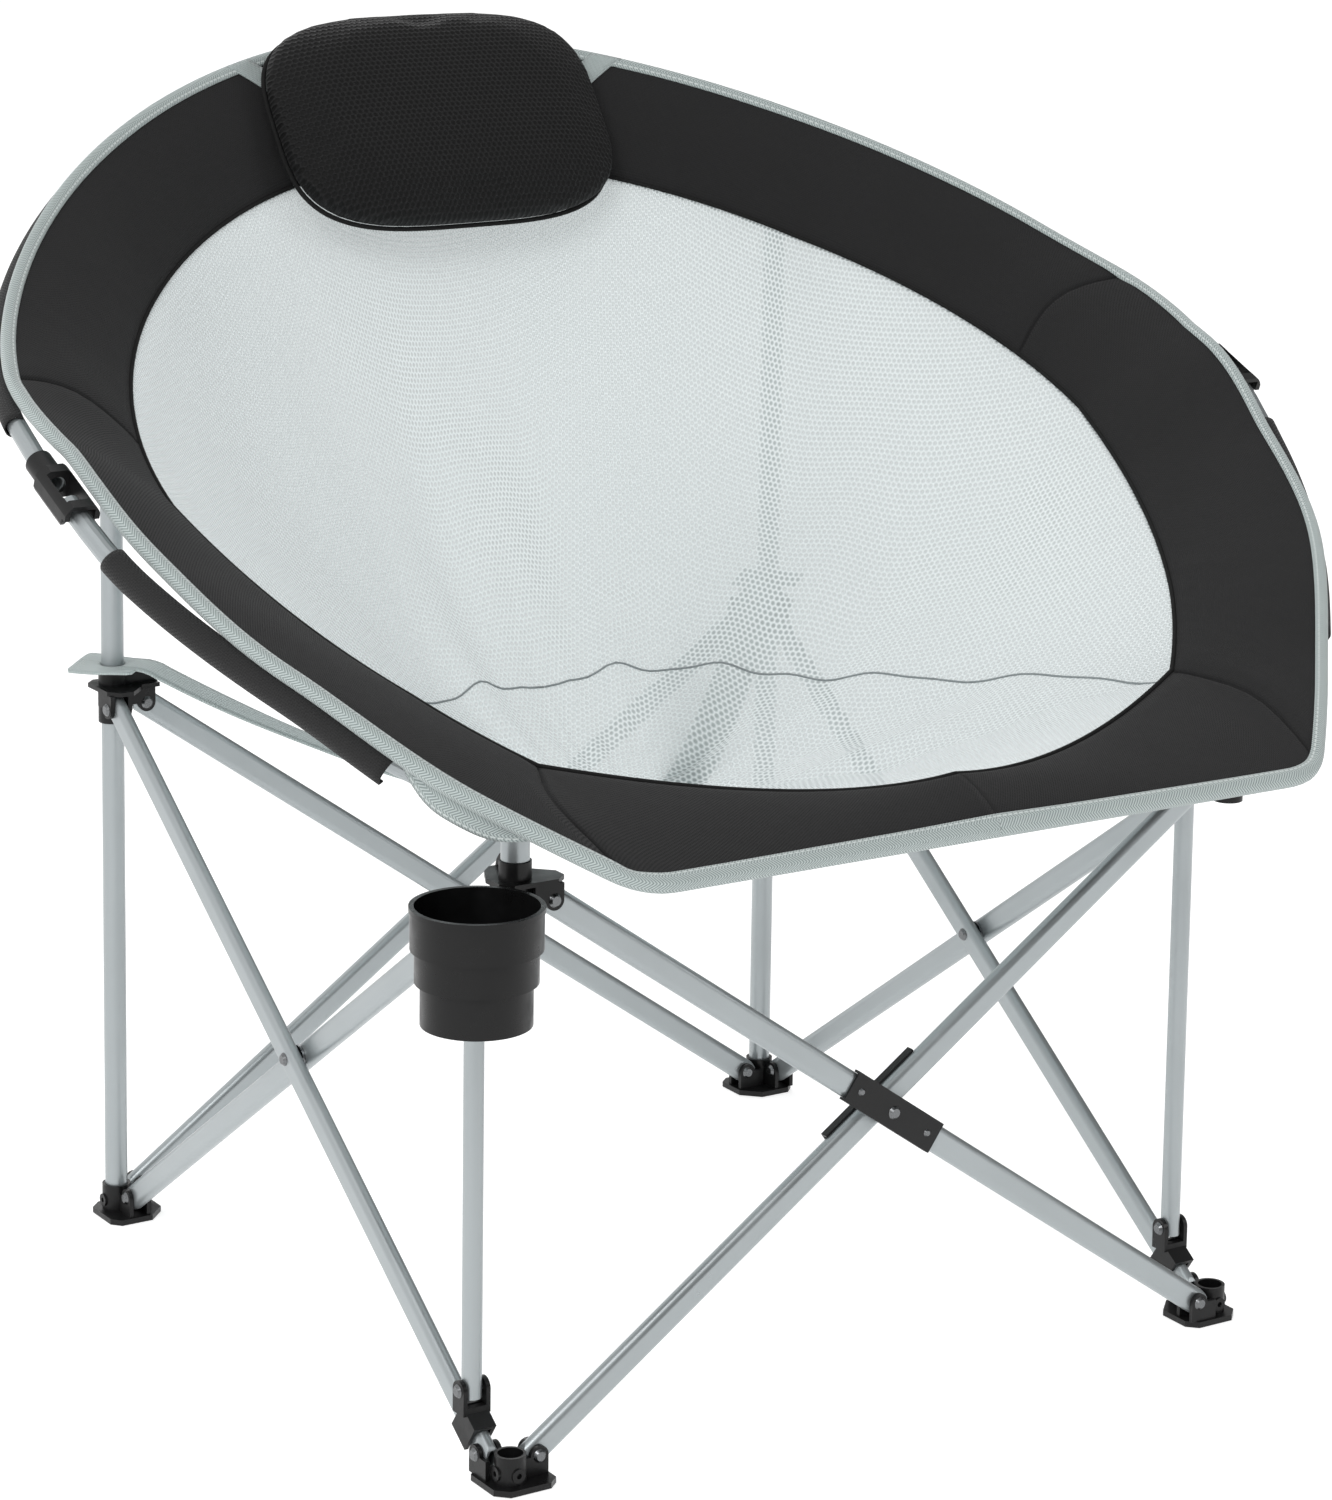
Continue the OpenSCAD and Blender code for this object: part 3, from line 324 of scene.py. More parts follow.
# %% Sleeve cloth: the same fibre in a coarser, ribbed weave
sleeve_cloth, tree, shader = material("sleeve cloth", (0.010, 0.010, 0.0105), 0.85, sheen=0.06)
sheet = coordinates(tree, "UV")
ribbed = use(tree, weave, sheet, Pitch=0.0016)["Height"]
set_colour(tree, shader, blend_colours(tree, ribbed, (0.004, 0.004, 0.004), (0.014, 0.014, 0.0145)))
soft = bump(tree, shader, noise(tree, sheet, 40.0), 0.3, 0.003)
bump(tree, shader, ribbed, 0.6, 0.0005, below=soft)

# %% Tape: pale grey-green herringbone with a stitched edge and painted shade in the stitch groove
tape_cloth, tree, shader = material("edge tape", (0.40, 0.455, 0.45), 0.8, sheen=0.3)
sheet = coordinates(tree, "UV")
bones = use(tree, twill, sheet)["Height"]
row = use(tree, stitch, sheet, Row=0.0022, Length=0.0042, Width=0.00055)
cloth = blend_colours(tree, bones, (0.20, 0.24, 0.235), (0.50, 0.56, 0.555))
# Painted shade: the cloth turns darker in the groove beside the stitch row, where shade falls
painted_seam_shade = blend_colours(tree, arith(tree, "MULTIPLY", row["Dent"], 0.35), cloth, (0.20, 0.235, 0.23))
set_colour(tree, shader, blend_colours(tree, row["Thread"], painted_seam_shade, (0.55, 0.60, 0.59)))
dented = arith(tree, "SUBTRACT", bones, row["Dent"])
bump(tree, shader, dented, 0.5, 0.0005)

# %% Webbing for the straps: the same colour, broad ribs, two stitched edges with painted shade in their grooves
webbing, tree, shader = material("webbing", (0.40, 0.455, 0.45), 0.8, sheen=0.3)
sheet = coordinates(tree, "UV")
ribs = use(tree, weave, sheet, Pitch=0.0017)["Height"]
rows = [use(tree, stitch, sheet, Row=where_, Length=0.004, Width=0.0005)["Dent"] for where_ in (0.003, 0.027)]
both = arith(tree, "MAXIMUM", *rows)
cloth = blend_colours(tree, ribs, (0.25, 0.295, 0.29), (0.45, 0.51, 0.505))
# Painted shade: the cloth turns darker in the grooves beside both stitch rows
set_colour(tree, shader, blend_colours(tree, arith(tree, "MULTIPLY", both, 0.45), cloth, (0.19, 0.225, 0.22)))
bump(tree, shader, arith(tree, "SUBTRACT", ribs, both), 0.6, 0.0006)

# %% Seat mesh: pale threads round open holes, painted shade in the holes, some light coming through
net, tree, shader = material("seat mesh", (0.72, 0.76, 0.765), 0.62, sheen=0.2)
sheet = coordinates(tree, "UV")
lattice = use(tree, holes, sheet, Pitch=0.0046, Radius=0.25)
tone = noise(tree, sheet, 7.0)
threads = blend_colours(tree, tone, (0.86, 0.91, 0.915), (0.94, 0.975, 0.98))
# Painted shade: the holes and the thread edges round them are dark grey, standing in for the shade seen
# through the net
set_colour(tree, shader, blend_colours(tree, lattice["Height"], (0.24, 0.28, 0.285), threads))
bump(tree, shader, lattice["Height"], 0.7, 0.0008)
lit = tree.nodes.new("ShaderNodeBsdfTranslucent")
lit.inputs["Color"].default_value = (0.85, 0.91, 0.915, 1)
cloth_mix = tree.nodes.new("ShaderNodeMixShader")
cloth_mix.inputs["Fac"].default_value = 0.35
tree.links.new(shader.outputs[0], cloth_mix.inputs[1])
tree.links.new(lit.outputs[0], cloth_mix.inputs[2])
clear = tree.nodes.new("ShaderNodeBsdfTransparent")
opened = tree.nodes.new("ShaderNodeMixShader")
# The holes let only a quarter of the light through, so their painted shade shows
tree.links.new(arith(tree, "MULTIPLY", lattice["Open"], 0.24), opened.inputs["Fac"])
tree.links.new(cloth_mix.outputs[0], opened.inputs[1])
tree.links.new(clear.outputs[0], opened.inputs[2])
tree.links.new(opened.outputs[0], tree.nodes["Material Output"].inputs["Surface"])

# %% Pillow: black spacer mesh with painted shade in its pores; its lattice lies in the pillow's own plane
PILLOW_AT, PILLOW_TILT = (9.0, 314.6, 774.5), 54.0
spacer, tree, shader = material("pillow mesh", (0.010, 0.010, 0.0105), 0.7, sheen=0.03)
shader.inputs["Specular IOR Level"].default_value = 0.25
in_plane = tree.nodes.new("ShaderNodeMapping")
in_plane.inputs["Rotation"].default_value = (-radians(PILLOW_TILT), 0, 0)
tree.links.new(coordinates(tree, "Object"), in_plane.inputs["Vector"])
lattice = use(tree, holes, in_plane.outputs[0], Pitch=0.0044, Radius=0.27)
# Painted shade: the pores of the spacer mesh are nearly black, standing in for the shade inside them
painted_pore_shade = blend_colours(tree, lattice["Height"], (0.0004, 0.0004, 0.0004), (0.012, 0.012, 0.0125))
set_colour(tree, shader, painted_pore_shade)
bump(tree, shader, lattice["Height"], 0.9, 0.0012)

# %% Dark thread for the band and the pillow, grey thread for the bucket


def thread(name, dark, light, roughness, specular):
    mat, tree, shader = material(name, light, roughness)
    shader.inputs["Specular IOR Level"].default_value = specular
    strands = noise(tree, coordinates(tree, "Object"), 700.0)
    set_colour(tree, shader, blend_colours(tree, strands, dark, light))
    bump(tree, shader, strands, 0.5, 0.0003)
    return mat


thread_dark = thread("dark thread", (0.008, 0.008, 0.008), (0.02, 0.02, 0.02), 0.95, 0.15)
thread_grey = thread("grey thread", (0.15, 0.17, 0.175), (0.28, 0.31, 0.32), 0.7, 0.5)
print("materials:", len(bpy.data.materials))

# %% [markdown]
# ## Give the hard pieces their materials
# A hard piece keeps the shape that the construction gave it. Only what fills its material slots changes,
# and the start of its name says what it is made of. Whatever isn't in the table is a painted tube.

# %% Materials by the kind of piece
KINDS = (("rivets", steel), ("strut_rivets", steel), ("plate", plastics["plate plastic"]),
         ("cup_holder", plastics["cup plastic"]), ("foot", plastics["black plastic"]),
         ("hub", plastics["black plastic"]), ("post_head", plastics["black plastic"]),
         ("seat_rest", paint), ("rim_lug", plastics["black plastic"]),
         ("elbow", plastics["black plastic"]), ("saddle", plastics["black plastic"]))
for name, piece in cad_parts.items():
    chosen = next((mat for start, mat in KINDS if name.startswith(start)), paint)
    for place_ in piece.material_slots:
        place_.material = chosen
print("hard pieces:", len(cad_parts))

# %% [markdown]
# ## The line of the rim
# On the real chair a bent tube ring carries the cloth, and everything soft follows that ring. So curves
# of one value, the way round u, place band, tape, sleeves and bucket, and they can't drift apart.
# The rim lies near one sloping plane. `outer` and `inner` are the edges of the band seen from above, for
# the right half: u runs 0 to 1 along the back quarter, 1 to 2 along the bend, 2 to 3 along the front.
# `rise` and `dip` say how far the outer and the inner edge stand off that plane.


# %% Curves of the rim
def bezier(points, t):
    points = [Vector(p) for p in points]
    while len(points) > 1:
        points = [a.lerp(b, t) for a, b in zip(points, points[1:])]
    return points[0]


def ease(x):
    x = min(1.0, max(0.0, x))
    return x * x * (3 - 2 * x)


def outer(u):
    if u <= 1:
        return bezier(((0, 389), (215.8, 389), (463, 177.8), (463, -3)), u)
    if u <= 2:
        return bezier(((463, -3), (478, -162), (257, -393)), u - 1)
    return Vector((257 * (3 - u), -393))


def inner(u):
    if u <= 1:
        return bezier(((0, 312), (189, 312), (365, 149), (365, -12)), u)
    if u <= 2:
        return bezier(((365, -12), (343, -165), (247, -266)), u - 1)
    return bezier(((247, -266), (98, -346), (0, -346)), u - 2)


CORNER_FROM, CORNER_TO = 1.965, 2.088


def edge(u):
    if CORNER_FROM < u < CORNER_TO:
        turn = (u - CORNER_FROM) / (CORNER_TO - CORNER_FROM)
        return bezier((outer(CORNER_FROM), outer(2), outer(CORNER_TO)), turn)
    return outer(u) - Vector((11 * ease((u - 0.85) / 0.2) * (1 - ease((u - 1.28) / 0.3)), 0))


def rise(u):
    return -5 + 23 * ease((u - 0.75) / 0.35) - 5 * ease((u - 1.12) / 0.2) - 12 * ease((u - 1.58) / 0.25)


def dip(u):
    return -57 + 26 * min(1, max(0, (200 - inner(u).y) / 400)) if u <= 2 else -31 + 31 * (u - 2)


SLOPE, PLANE_HEIGHT = radians(28.27), 620.5
RIM_UP = Vector((0, -sin(SLOPE), cos(SLOPE)))


def lift(p, n):
    return Vector((p.x, p.y, PLANE_HEIGHT + p.y * tan(SLOPE))) + n * RIM_UP


def outward(u):
    step = 0.01
    a = edge(max(u - step, 0.0)) if u > step else edge(0.0)
    before = (edge(u) - a).normalized() if u > 0.001 else Vector((1, 0))
    after = (edge(min(u + step, 3.0)) - edge(u)).normalized() if u < 2.999 else before
    first, second = Vector((-before.y, before.x)), Vector((-after.y, after.x))
    return (first + second) / (1 + first.dot(second))


def tape_point(u, off, n):
    p = edge(u) + off * outward(max(u, 0.0))
    return lift(p, rise(u) + n)


TUBE_DROP = 14.53


def tube_point(u, side):
    p = outer(u)
    passing = 14.2 * ease((256 - abs(p.x)) / 25) if side > 0 else 0
    return lift(p, rise(u) - TUBE_DROP - passing)


ARC = [0.0]
for i in range(1, 601):
    ARC.append(ARC[-1] + (edge(i / 200) - edge((i - 1) / 200)).length)


def arc(u):
    k = min(599, int(u * 200))
    return ARC[k] + (ARC[k + 1] - ARC[k]) * (u * 200 - k)


print("edge of the cloth round the rim:", round(2 * ARC[-1]), "mm")

# %% [markdown]
# ## Making meshes
# A cloth piece is a grid: rows of points along the cloth, each row a section across it. A grid keeps
# clean texture coordinates in real lengths, which a sculpted or remeshed piece would lose. The points are
# worked out for the right half, and the left half turns their x round.


# %% Grid to object
def grid(name, rows, uvs, mat, wrap=False, close=False, caps=False, flip=False):
    """rows and uvs are in mm; uvs has one column more if wrap joins the last column to the first."""
    n = len(rows[0])
    columns = n if wrap else n - 1
    faces, corners = [], []
    for i in range(len(rows) if close else len(rows) - 1):
        m = (i + 1) % len(rows)
        for j in range(columns):
            k = (j + 1) % n
            faces.append((i * n + j, i * n + k, m * n + k, m * n + j))
            corners.append((uvs[i][j], uvs[i][j + 1], uvs[m][j + 1], uvs[m][j]))
    if caps:
        last = (len(rows) - 1) * n
        faces.append(tuple(range(n)))
        corners.append(tuple(uvs[0][:n]))
        faces.append(tuple(range(last, last + n)))
        corners.append(tuple(uvs[-1][:n]))
    mesh = bpy.data.meshes.new(name)
    mesh.from_pydata([tuple(c * MM for c in p) for row in rows for p in row], [], faces)
    layer = mesh.uv_layers.new(name="cloth")
    for poly, four in zip(mesh.polygons, corners):
        for loop, uv in zip(poly.loop_indices, four):
            layer.data[loop].uv = (uv[0] * MM, uv[1] * MM)
    bm = bmesh.new()
    bm.from_mesh(mesh)
    bmesh.ops.remove_doubles(bm, verts=bm.verts, dist=1e-7)
    if caps or (wrap and close):
        bmesh.ops.recalc_face_normals(bm, faces=bm.faces)
    elif flip:
        bmesh.ops.reverse_faces(bm, faces=bm.faces)
    bm.to_mesh(mesh)
    bm.free()
    mesh.shade_smooth()
    obj = bpy.data.objects.new(name, mesh)
    bpy.context.scene.collection.objects.link(obj)
    mesh.materials.append(mat)
    return obj


def turned(points, sign):
    return [Vector((sign * p[0], p[1], p[2])) for p in points]


def on_side(rows, sign):
    return [turned(row, sign) for row in rows]


def area(obj):
    return sum(p.area for p in obj.data.polygons)


# %% [markdown]
# ## The padded band
# The band is two layers of cloth over foam, thick in its middle and sewn thin at the bucket. Two seams
# cross it on each side. A cloth simulation would need a remesh that wipes out grooves this narrow, so the
# crown is a formula, and the columns bend with each seam's curve: each seam is a real groove in the mesh.

# %% Band
SEAMS = ((0.873, 0.030), (2.0, 0.055))
US = sorted({round(i * 0.02, 4) for i in range(151)} | {
    round(min(3.0, max(0.0, u + k * a / (640 if u < 1 else 430))), 5)
    for u, _ in SEAMS for k in (-1, 1) for a in (0.5, 1.1, 1.8, 2.7, 4, 6, 9, 14)})
TOP = (0, 0.012, 0.03, 0.06, 0.11, 0.18, 0.27, 0.37, 0.48, 0.59, 0.7, 0.8, 0.89, 0.95, 0.985, 1)
UNDER = (1, 0.96, 0.85, 0.65, 0.4, 0.2, 0.08, 0.02, 0)


def bent(u, w):
    for where_, bow in SEAMS:
        u -= bow * sin(pi * w) * exp(-(((u - where_) / 0.13) ** 2))
    return min(3.0, max(0.0, u))


def groove(u):
    total = 0.0
    for where_, _ in SEAMS:
        d = arc(u) - arc(where_)
        total += 2.4 * exp(-((d / 1.5) ** 2)) + 1.5 * exp(-((d / 9) ** 2))
    return total


def band_height(u, w):
    slack = 0.7 * sin(arc(u) / 31 + 5 * w) * sin(arc(u) / 83 + 1.0) * sin(pi * w)
    return 1.4 + 2.5 * ease(w / 0.07) + 5.2 * sin(pi * w) ** 0.85 + slack - groove(u) * ease(w / 0.05)


def band_point(u, w, n):
    v = bent(u, w)
    p = edge(v) * w + inner(v) * (1 - w)
    return lift(p, rise(v) * w + dip(v) * (1 - w) + n)


band_rows, band_uvs = [], []
for u in US:
    width = (edge(u) - inner(u)).length
    band_rows.append([band_point(u, w, band_height(u, w)) for w in TOP]
                     + [band_point(u, w, -1.4 - 2.5 * ease(w / 0.07)) for w in UNDER])
    run = arc(u)
    band_uvs.append([(run, w * width) for w in TOP] + [(run, width + 8 + (1 - w) * width) for w in UNDER]
                    + [(run, 2 * width + 10)])
band = {}
for side, sign in SIDES.items():
    band[side] = grid(f"seat_band_{side}", on_side(band_rows, sign), band_uvs, band_cloth,
                      wrap=True, caps=True)
print("band:", {s: len(o.data.polygons) for s, o in band.items()})

# %% [markdown]
# ## The see-through bucket
# The bucket is a thin net that hangs from the band. Its holes are in the material, because modelled
# holes would be hundreds of thousands of faces. Rays run from the band's inner edge down to the lowest
# point. The sheet's coordinates measure the distance along each ray, so the holes keep their size that
# way and get a little narrower across it. The net isn't taut: slack folds run down it, and small gathers
# lie at the front.

# %% Bucket
LOW, BOTTOM = Vector((0, 40)), 330


def bowl_height(r, p):
    return ((r * r + 0.02) ** (p / 2) - 0.02 ** (p / 2)) / (1.02 ** (p / 2) - 0.02 ** (p / 2))


def bowl_point(u, r):
    e = inner(u)
    g = r * (1 - 2.8 / (e - LOW).length)
    top = lift(e, dip(u))
    q = LOW + (e - LOW) * g
    z = BOTTOM + (top.z - BOTTOM) * bowl_height(r, 2 - 0.9 * ease((u - 1.2) / 1.3))
    return Vector((q.x + (top.x - e.x) * g, q.y + (top.y - e.y) * g, z))


def slack_fold(p, r):
    turn = atan2(p.y - 40, p.x)
    far = hypot(p.x, p.y - 40)
    waves = sin(11 * turn + far / 60) + 0.9 * sin(17 * turn - far / 45 + 2) * sin(3 * turn + 1)
    waves += 0.6 * sin(p.x / 19 + p.y / 27) * sin(p.y / 90)
    gathers = sin(p.x / 13 - p.y / 37) * exp(-(((p.y + 150) / 80) ** 2)) * ease(abs(p.x) / 160)
    return (2.9 * waves + 1.9 * gathers) * ease(r / 0.3) * ease((1 - r) / 0.35)


RADII = [0.0] + [0.03 + 0.97 * (i / 34) for i in range(35)]
bowl_rows, bowl_uvs = [], []
for u in [i * 0.02 for i in range(151)]:
    e = inner(u) - LOW
    heading = e.normalized()
    row, uv, run, last = [], [], 0.0, None
    for r in RADII:
        p = bowl_point(u, r)
        run += (p - last).length if last else 0.0
        last = p
        row.append(p + Vector((0, 0, slack_fold(p, r) - 1.0)) if r else p - Vector((0, 0, 1.0)))
        uv.append((run * heading.x, run * heading.y))
    row.append(band_point(u, 0.03, -0.6))
    run += (row[-1] - last).length
    uv.append((run * heading.x, run * heading.y))
    bowl_rows.append(row)
    bowl_uvs.append(uv)
seat = {}
for side, sign in SIDES.items():
    uvs = [[(sign * a, b) for a, b in row] for row in bowl_uvs]
    seat[side] = grid(f"seat_net_{side}", on_side(bowl_rows, sign), uvs, net, flip=sign > 0)
up_facing = {s: sum(p.normal.z * p.area for p in o.data.polygons) for s, o in seat.items()}
print("bucket cloth:", {s: round(area(o), 4) for s, o in seat.items()}, "facing", up_facing)


# %% [markdown]
# ## Round cords, channels and seams
# Seams and piping are round cords along a path, and sleeves are tubes of cloth. Bevelled curves could
# make both; here they are meshes. A sleeve is a section like a letter C with a wall,
# closed where it holds the tube and open on its inner side where the tube leaves it.


# %% Pipes and sleeves
def frames(path, towards):
    out = []
    for i, p in enumerate(path):
        ahead_ = (path[min(i + 1, len(path) - 1)] - path[max(i - 1, 0)]).normalized()
        side_ = (towards - p) - ahead_ * (towards - p).dot(ahead_)
        side_.normalize()
        out.append((p, side_, ahead_.cross(side_)))
    return out


def pipe(name, path, radius, mat, towards=Vector((0, 0, 600)), sides=10):
    rows, uvs, run = [], [], 0.0
    for i, (p, a, b) in enumerate(frames(path, towards)):
        run += (p - path[i - 1]).length if i else 0.0
        turn = [2 * pi * k / sides for k in range(sides)]
        rows.append([p + (a * cos(t) + b * sin(t)) * radius for t in turn])
        uvs.append([(run, 2 * pi * radius * k / sides) for k in range(sides + 1)])
    return grid(name, rows, uvs, mat, wrap=True, caps=True)


def channel(name, path, gaps, r_out, r_in, mat, sides=22):
    """gaps is the half angle, in degrees, left open towards the chair's middle, one for each path point."""
    rows, uvs, run = [], [], 0.0
    for i, (p, a, b) in enumerate(frames(path, Vector((0, 0, 560)))):
        run += (p - path[i - 1]).length if i else 0.0
        g = radians(max(gaps[i], 1.0))
        turn = [g + (2 * pi - 2 * g) * k / sides for k in range(sides + 1)]
        outer_ring = [p + (a * cos(t) + b * sin(t)) * r_out for t in turn]
        inner_ring = [p + (a * cos(t) + b * sin(t)) * r_in for t in reversed(turn)]
        rows.append(outer_ring + inner_ring)
        uvs.append([(run, t * r_out) for t in turn] + [(run, 60 + t * r_in) for t in reversed(turn)]
                   + [(run, 130)])
    obj = grid(name, rows, uvs, mat, wrap=True)
    n, count = len(rows[0]), len(rows)
    bm = bmesh.new()
    bm.from_mesh(obj.data)
    bm.verts.ensure_lookup_table()
    for first in (0, (count - 1) * n):
        for j in range(sides):
            bm.faces.new([bm.verts[first + k] for k in (j, j + 1, n - 2 - j, n - 1 - j)])
    bmesh.ops.recalc_face_normals(bm, faces=bm.faces)
    bm.to_mesh(obj.data)
    bm.free()
    obj.data.shade_smooth()
    return obj


# %% Seams of the bucket: where band meets mesh, and the arch between its two panels
trims = {"left": [], "right": []}
for side, sign in SIDES.items():
    ring = [band_point(u, 0.0, 2.1) for u in [i * 0.02 for i in range(151)]]
    ring = turned(ring, sign)
    trims[side].append(pipe(f"band_seam_{side}", ring, 1.5, thread_dark, sides=8))
    arch = []
    bm = bmesh.new()
    bm.from_mesh(seat[side].data)
    ground = BVHTree.FromBMesh(bm)
    for i in range(61):
        t = (pi / 2) * i / 60
        x = sign * (0.4 + 231 * max(0.0, sin(t)) ** (2 / 2.4))
        y = -259 + 408 * max(0.0, cos(t)) ** (2 / 2.4)
        hit = ground.ray_cast(Vector((x * MM, y * MM, 1.0)), Vector((0, 0, -1)))[0]
        if hit is not None:
            arch.append(Vector((x, y, hit.z / MM + 0.4)))
    bm.free()
    trims[side].append(pipe(f"panel_seam_{side}", arch, 0.75, thread_grey, sides=6))
print("seam points:", len(arch))

# %% [markdown]
# ## Tape round the edge
# A woven tape binds the cut edge of band and net. It folds over the top, down the outside and a little
# way under, so it is one closed section swept round the rim, which shows the herringbone along its length.

# %% Edge tape
TAPE_US = sorted(set(US) | {0.005, 2.995})
tape = {}
PROFILE = ((-7.6, 4.7), (-6.4, 5.3), (-4.4, 5.5), (-2.2, 5.2), (0.0, 4.5), (1.3, 2.9), (1.7, 0.0),
           (1.5, -2.8), (0.4, -4.6), (-3, -5.2), (-8, -5.3), (-8, -4.5), (-3, -4.4), (0.2, -3.4),
           (0.8, 0.0), (0.4, 3.0), (-2.4, 4.3), (-4.4, 4.6), (-6.4, 4.4), (-7.4, 4.1))
for side, sign in SIDES.items():
    rows, uvs = [], []
    for u in TAPE_US:
        width = (edge(u) - inner(u)).length
        row, uv, run_v, last = [], [], 0.0, None
        for off_, n in PROFILE:
            crown = band_height(u, 1 + min(0.0, off_) / width) - 3.9 if n > 1 else 0.0
            q = tape_point(u, off_, n + max(0.0, crown) * (0.95 if off_ < -1 else 0.0))
            tilt_ = (dip(u) - rise(u)) * min(0.0, off_) / -width
            q = q + RIM_UP * tilt_
            run_v += (Vector((off_, n)) - last).length if last else 0.0
            last = Vector((off_, n))
            row.append(q)
            uv.append((arc(u), run_v))
        uv.append((arc(u), run_v + 1))
        rows.append(row)
        uvs.append(uv)
    tape[side] = grid(f"edge_tape_{side}", on_side(rows, sign), uvs, tape_cloth, wrap=True, caps=True)
print("tape:", len(tape["left"].data.polygons))

# %% A loose hem of the bucket that hangs below the tape at the front of each side
flaps = {}
for side, sign in SIDES.items():
    rows, uvs = [], []
    for i in range(41):
        t = i / 40
        u = 1.735 + 0.15 * t
        drop = 3 + 15 * sin(pi * t) ** 0.8 + 1.6 * sin(9 * t) * sin(pi * t)
        line = [(-5.0 + 4.0 * sin(pi * t) * f, -4.9 - drop * f) for f in (0, 0.3, 0.6, 0.85, 1)]
        front_ = [tape_point(u, off_, n) for off_, n in line]
        rows.append(front_ + [p - 1.1 * Vector((0.6, 0.5, 0)) for p in reversed(front_)])
        across_ = [drop * f for f in (1, 0.7, 0.4, 0.15, 0)]
        uvs.append([(arc(u), v) for v in across_ + across_[::-1] + across_[:1]])
    flaps[side] = grid(f"hem_flap_{side}", on_side(rows, sign), uvs, tape_cloth, wrap=True, caps=True)
print("hem flaps:", {s: len(o.data.polygons) for s, o in flaps.items()})

# %% [markdown]
# ## Sleeves on the rim tubes
# The cloth is held to the ring by sleeves, which the tubes slide into. The back tube wears one from the
# top of the chair almost to the elbow, with a break where the hinge lug grips it. The side sleeve holds the
# side tube and runs on, empty, past its end, where it hangs open.

# %% Sleeves
SLEEVE_FROM, SLEEVE_OPENS, SLEEVE_TO = 1.26, 1.52, 1.725
POST_U = 0.445
for k in range(30):
    POST_U += (278 - outer(POST_U).x) / 640
sleeves = {"left": [], "right": []}
back_sleeves = {"left": [], "right": []}
for side, sign in SIDES.items():
    us = [SLEEVE_FROM + (SLEEVE_TO - SLEEVE_FROM) * i / 46 for i in range(47)]
    path = [tube_point(u, 0) for u in us]
    path = turned(path, sign)
    gaps = [78 * ease((u - SLEEVE_OPENS) / 0.06) for u in us]
    sleeves[side].append(channel(f"side_sleeve_{side}", path, gaps, 9.2, 8.2, sleeve_cloth))
    for label, low, high in (("top", 0.012, POST_U - 0.024), ("low", POST_U + 0.024, 0.93)):
        us = [low + (high - low) * i / 44 for i in range(45)]
        path = [tube_point(u, sign) for u in us]
        path = turned(path, sign)
        back_sleeves[side].append(
            channel(f"back_sleeve_{label}_{side}", path, [0] * 45, 7.35, 6.7, sleeve_cloth))
print("post under the rim at u", round(POST_U, 4))

# %% [markdown]
# ## Webbing straps
# Two webbing straps join the rear posts to the bucket. Each starts in a stitched patch round its post and
# sags to the bottom of the bucket. Webbing bends but doesn't stretch, so a flat section is swept along one
# smooth curve, with a slight twist.

# %% Straps
straps, patches = {}, {}
HOLD, FLAT, POST, STRAP_HALF = 403.9, 32.0, 278.0, 15.0
end = bowl_point(1.0, 0.12)
reach = hypot(POST - end.x, POST - end.y)
fall = HOLD - end.z + 2.4 + 2.8


def strap_height(x):
    t = max(0.0, (x - FLAT) / (reach - FLAT))
    return HOLD - fall * (1 - (1 - t) ** 1.8)


for side, sign in SIDES.items():
    heading = Vector((end.x - POST, end.y - POST)).normalized()
    beside = Vector((-heading.y, heading.x))

    def local(x, y, z):
        q = Vector((POST, POST)) + heading * x + beside * y
        return Vector((sign * q.x, q.y, z))

    rows, uvs = [], []
    steps = [11 + (reach - 11) * i / 60 for i in range(61)]
    for x in steps:
        z = strap_height(x) + 2.3 * (1 - ease((x - 22) / 14)) + 0.2
        twist = 1.6 * sin(pi * ease((x - 40) / 200)) * sin((x - 40) / 90)
        section = [(STRAP_HALF * part, c)
                   for part, c in ((-1, 0), (-0.5, 0.35), (0, 0.4), (0.5, 0.35), (1, 0))]
        top = [local(x, y, z + 0.9 + c + twist * y / STRAP_HALF) for y, c in section]
        low = [local(x, y, z - 0.7 + c + twist * y / STRAP_HALF) for y, c in reversed(section)]
        rows.append(top + low)
        uvs.append([(x, y + STRAP_HALF) for y, _ in section + section[::-1]] + [(x, 0)])
    straps[side] = grid(f"web_strap_{side}", rows, uvs, webbing, wrap=True, caps=True)

    rows, uvs = [], []
    for i in range(9):
        f = i / 8
        row, uv = [], []
        for k in range(48):
            t = 2 * pi * k / 48
            c, s = cos(t), sin(t)
            box_ = 1 / max(abs(c) / (26 if c < 0 else 22), abs(s) / 24)
            r = 8.7 + (box_ - 8.7) * f
            wave = 0.9 * sin(2 * t + 0.6) * f * f
            row.append(local(r * c, r * s, HOLD + 2.1 + wave))
            uv.append((r * c + 30, r * s + 30))
        rows.append(row)
        uvs.append(uv + [uv[0]])
    under = [[p - Vector((0, 0, 2.0)) for p in row] for row in reversed(rows)]
    patches[side] = grid(f"strap_patch_{side}", rows + under, uvs + list(reversed(uvs)), webbing,
                         wrap=True, close=True)
print("strap length:", round(reach), "mm across")

# %% [markdown]
# ## Pillow
# The head pillow is a bag of spacer mesh with soft filling, sewn round its back edge with piping. A lofted
# shell gives its outline. The cloth simulation then blows its front up a little, straight out of the panel,
# so the piping stays on its edge. The result is written into the mesh, so no simulation is left in the file.

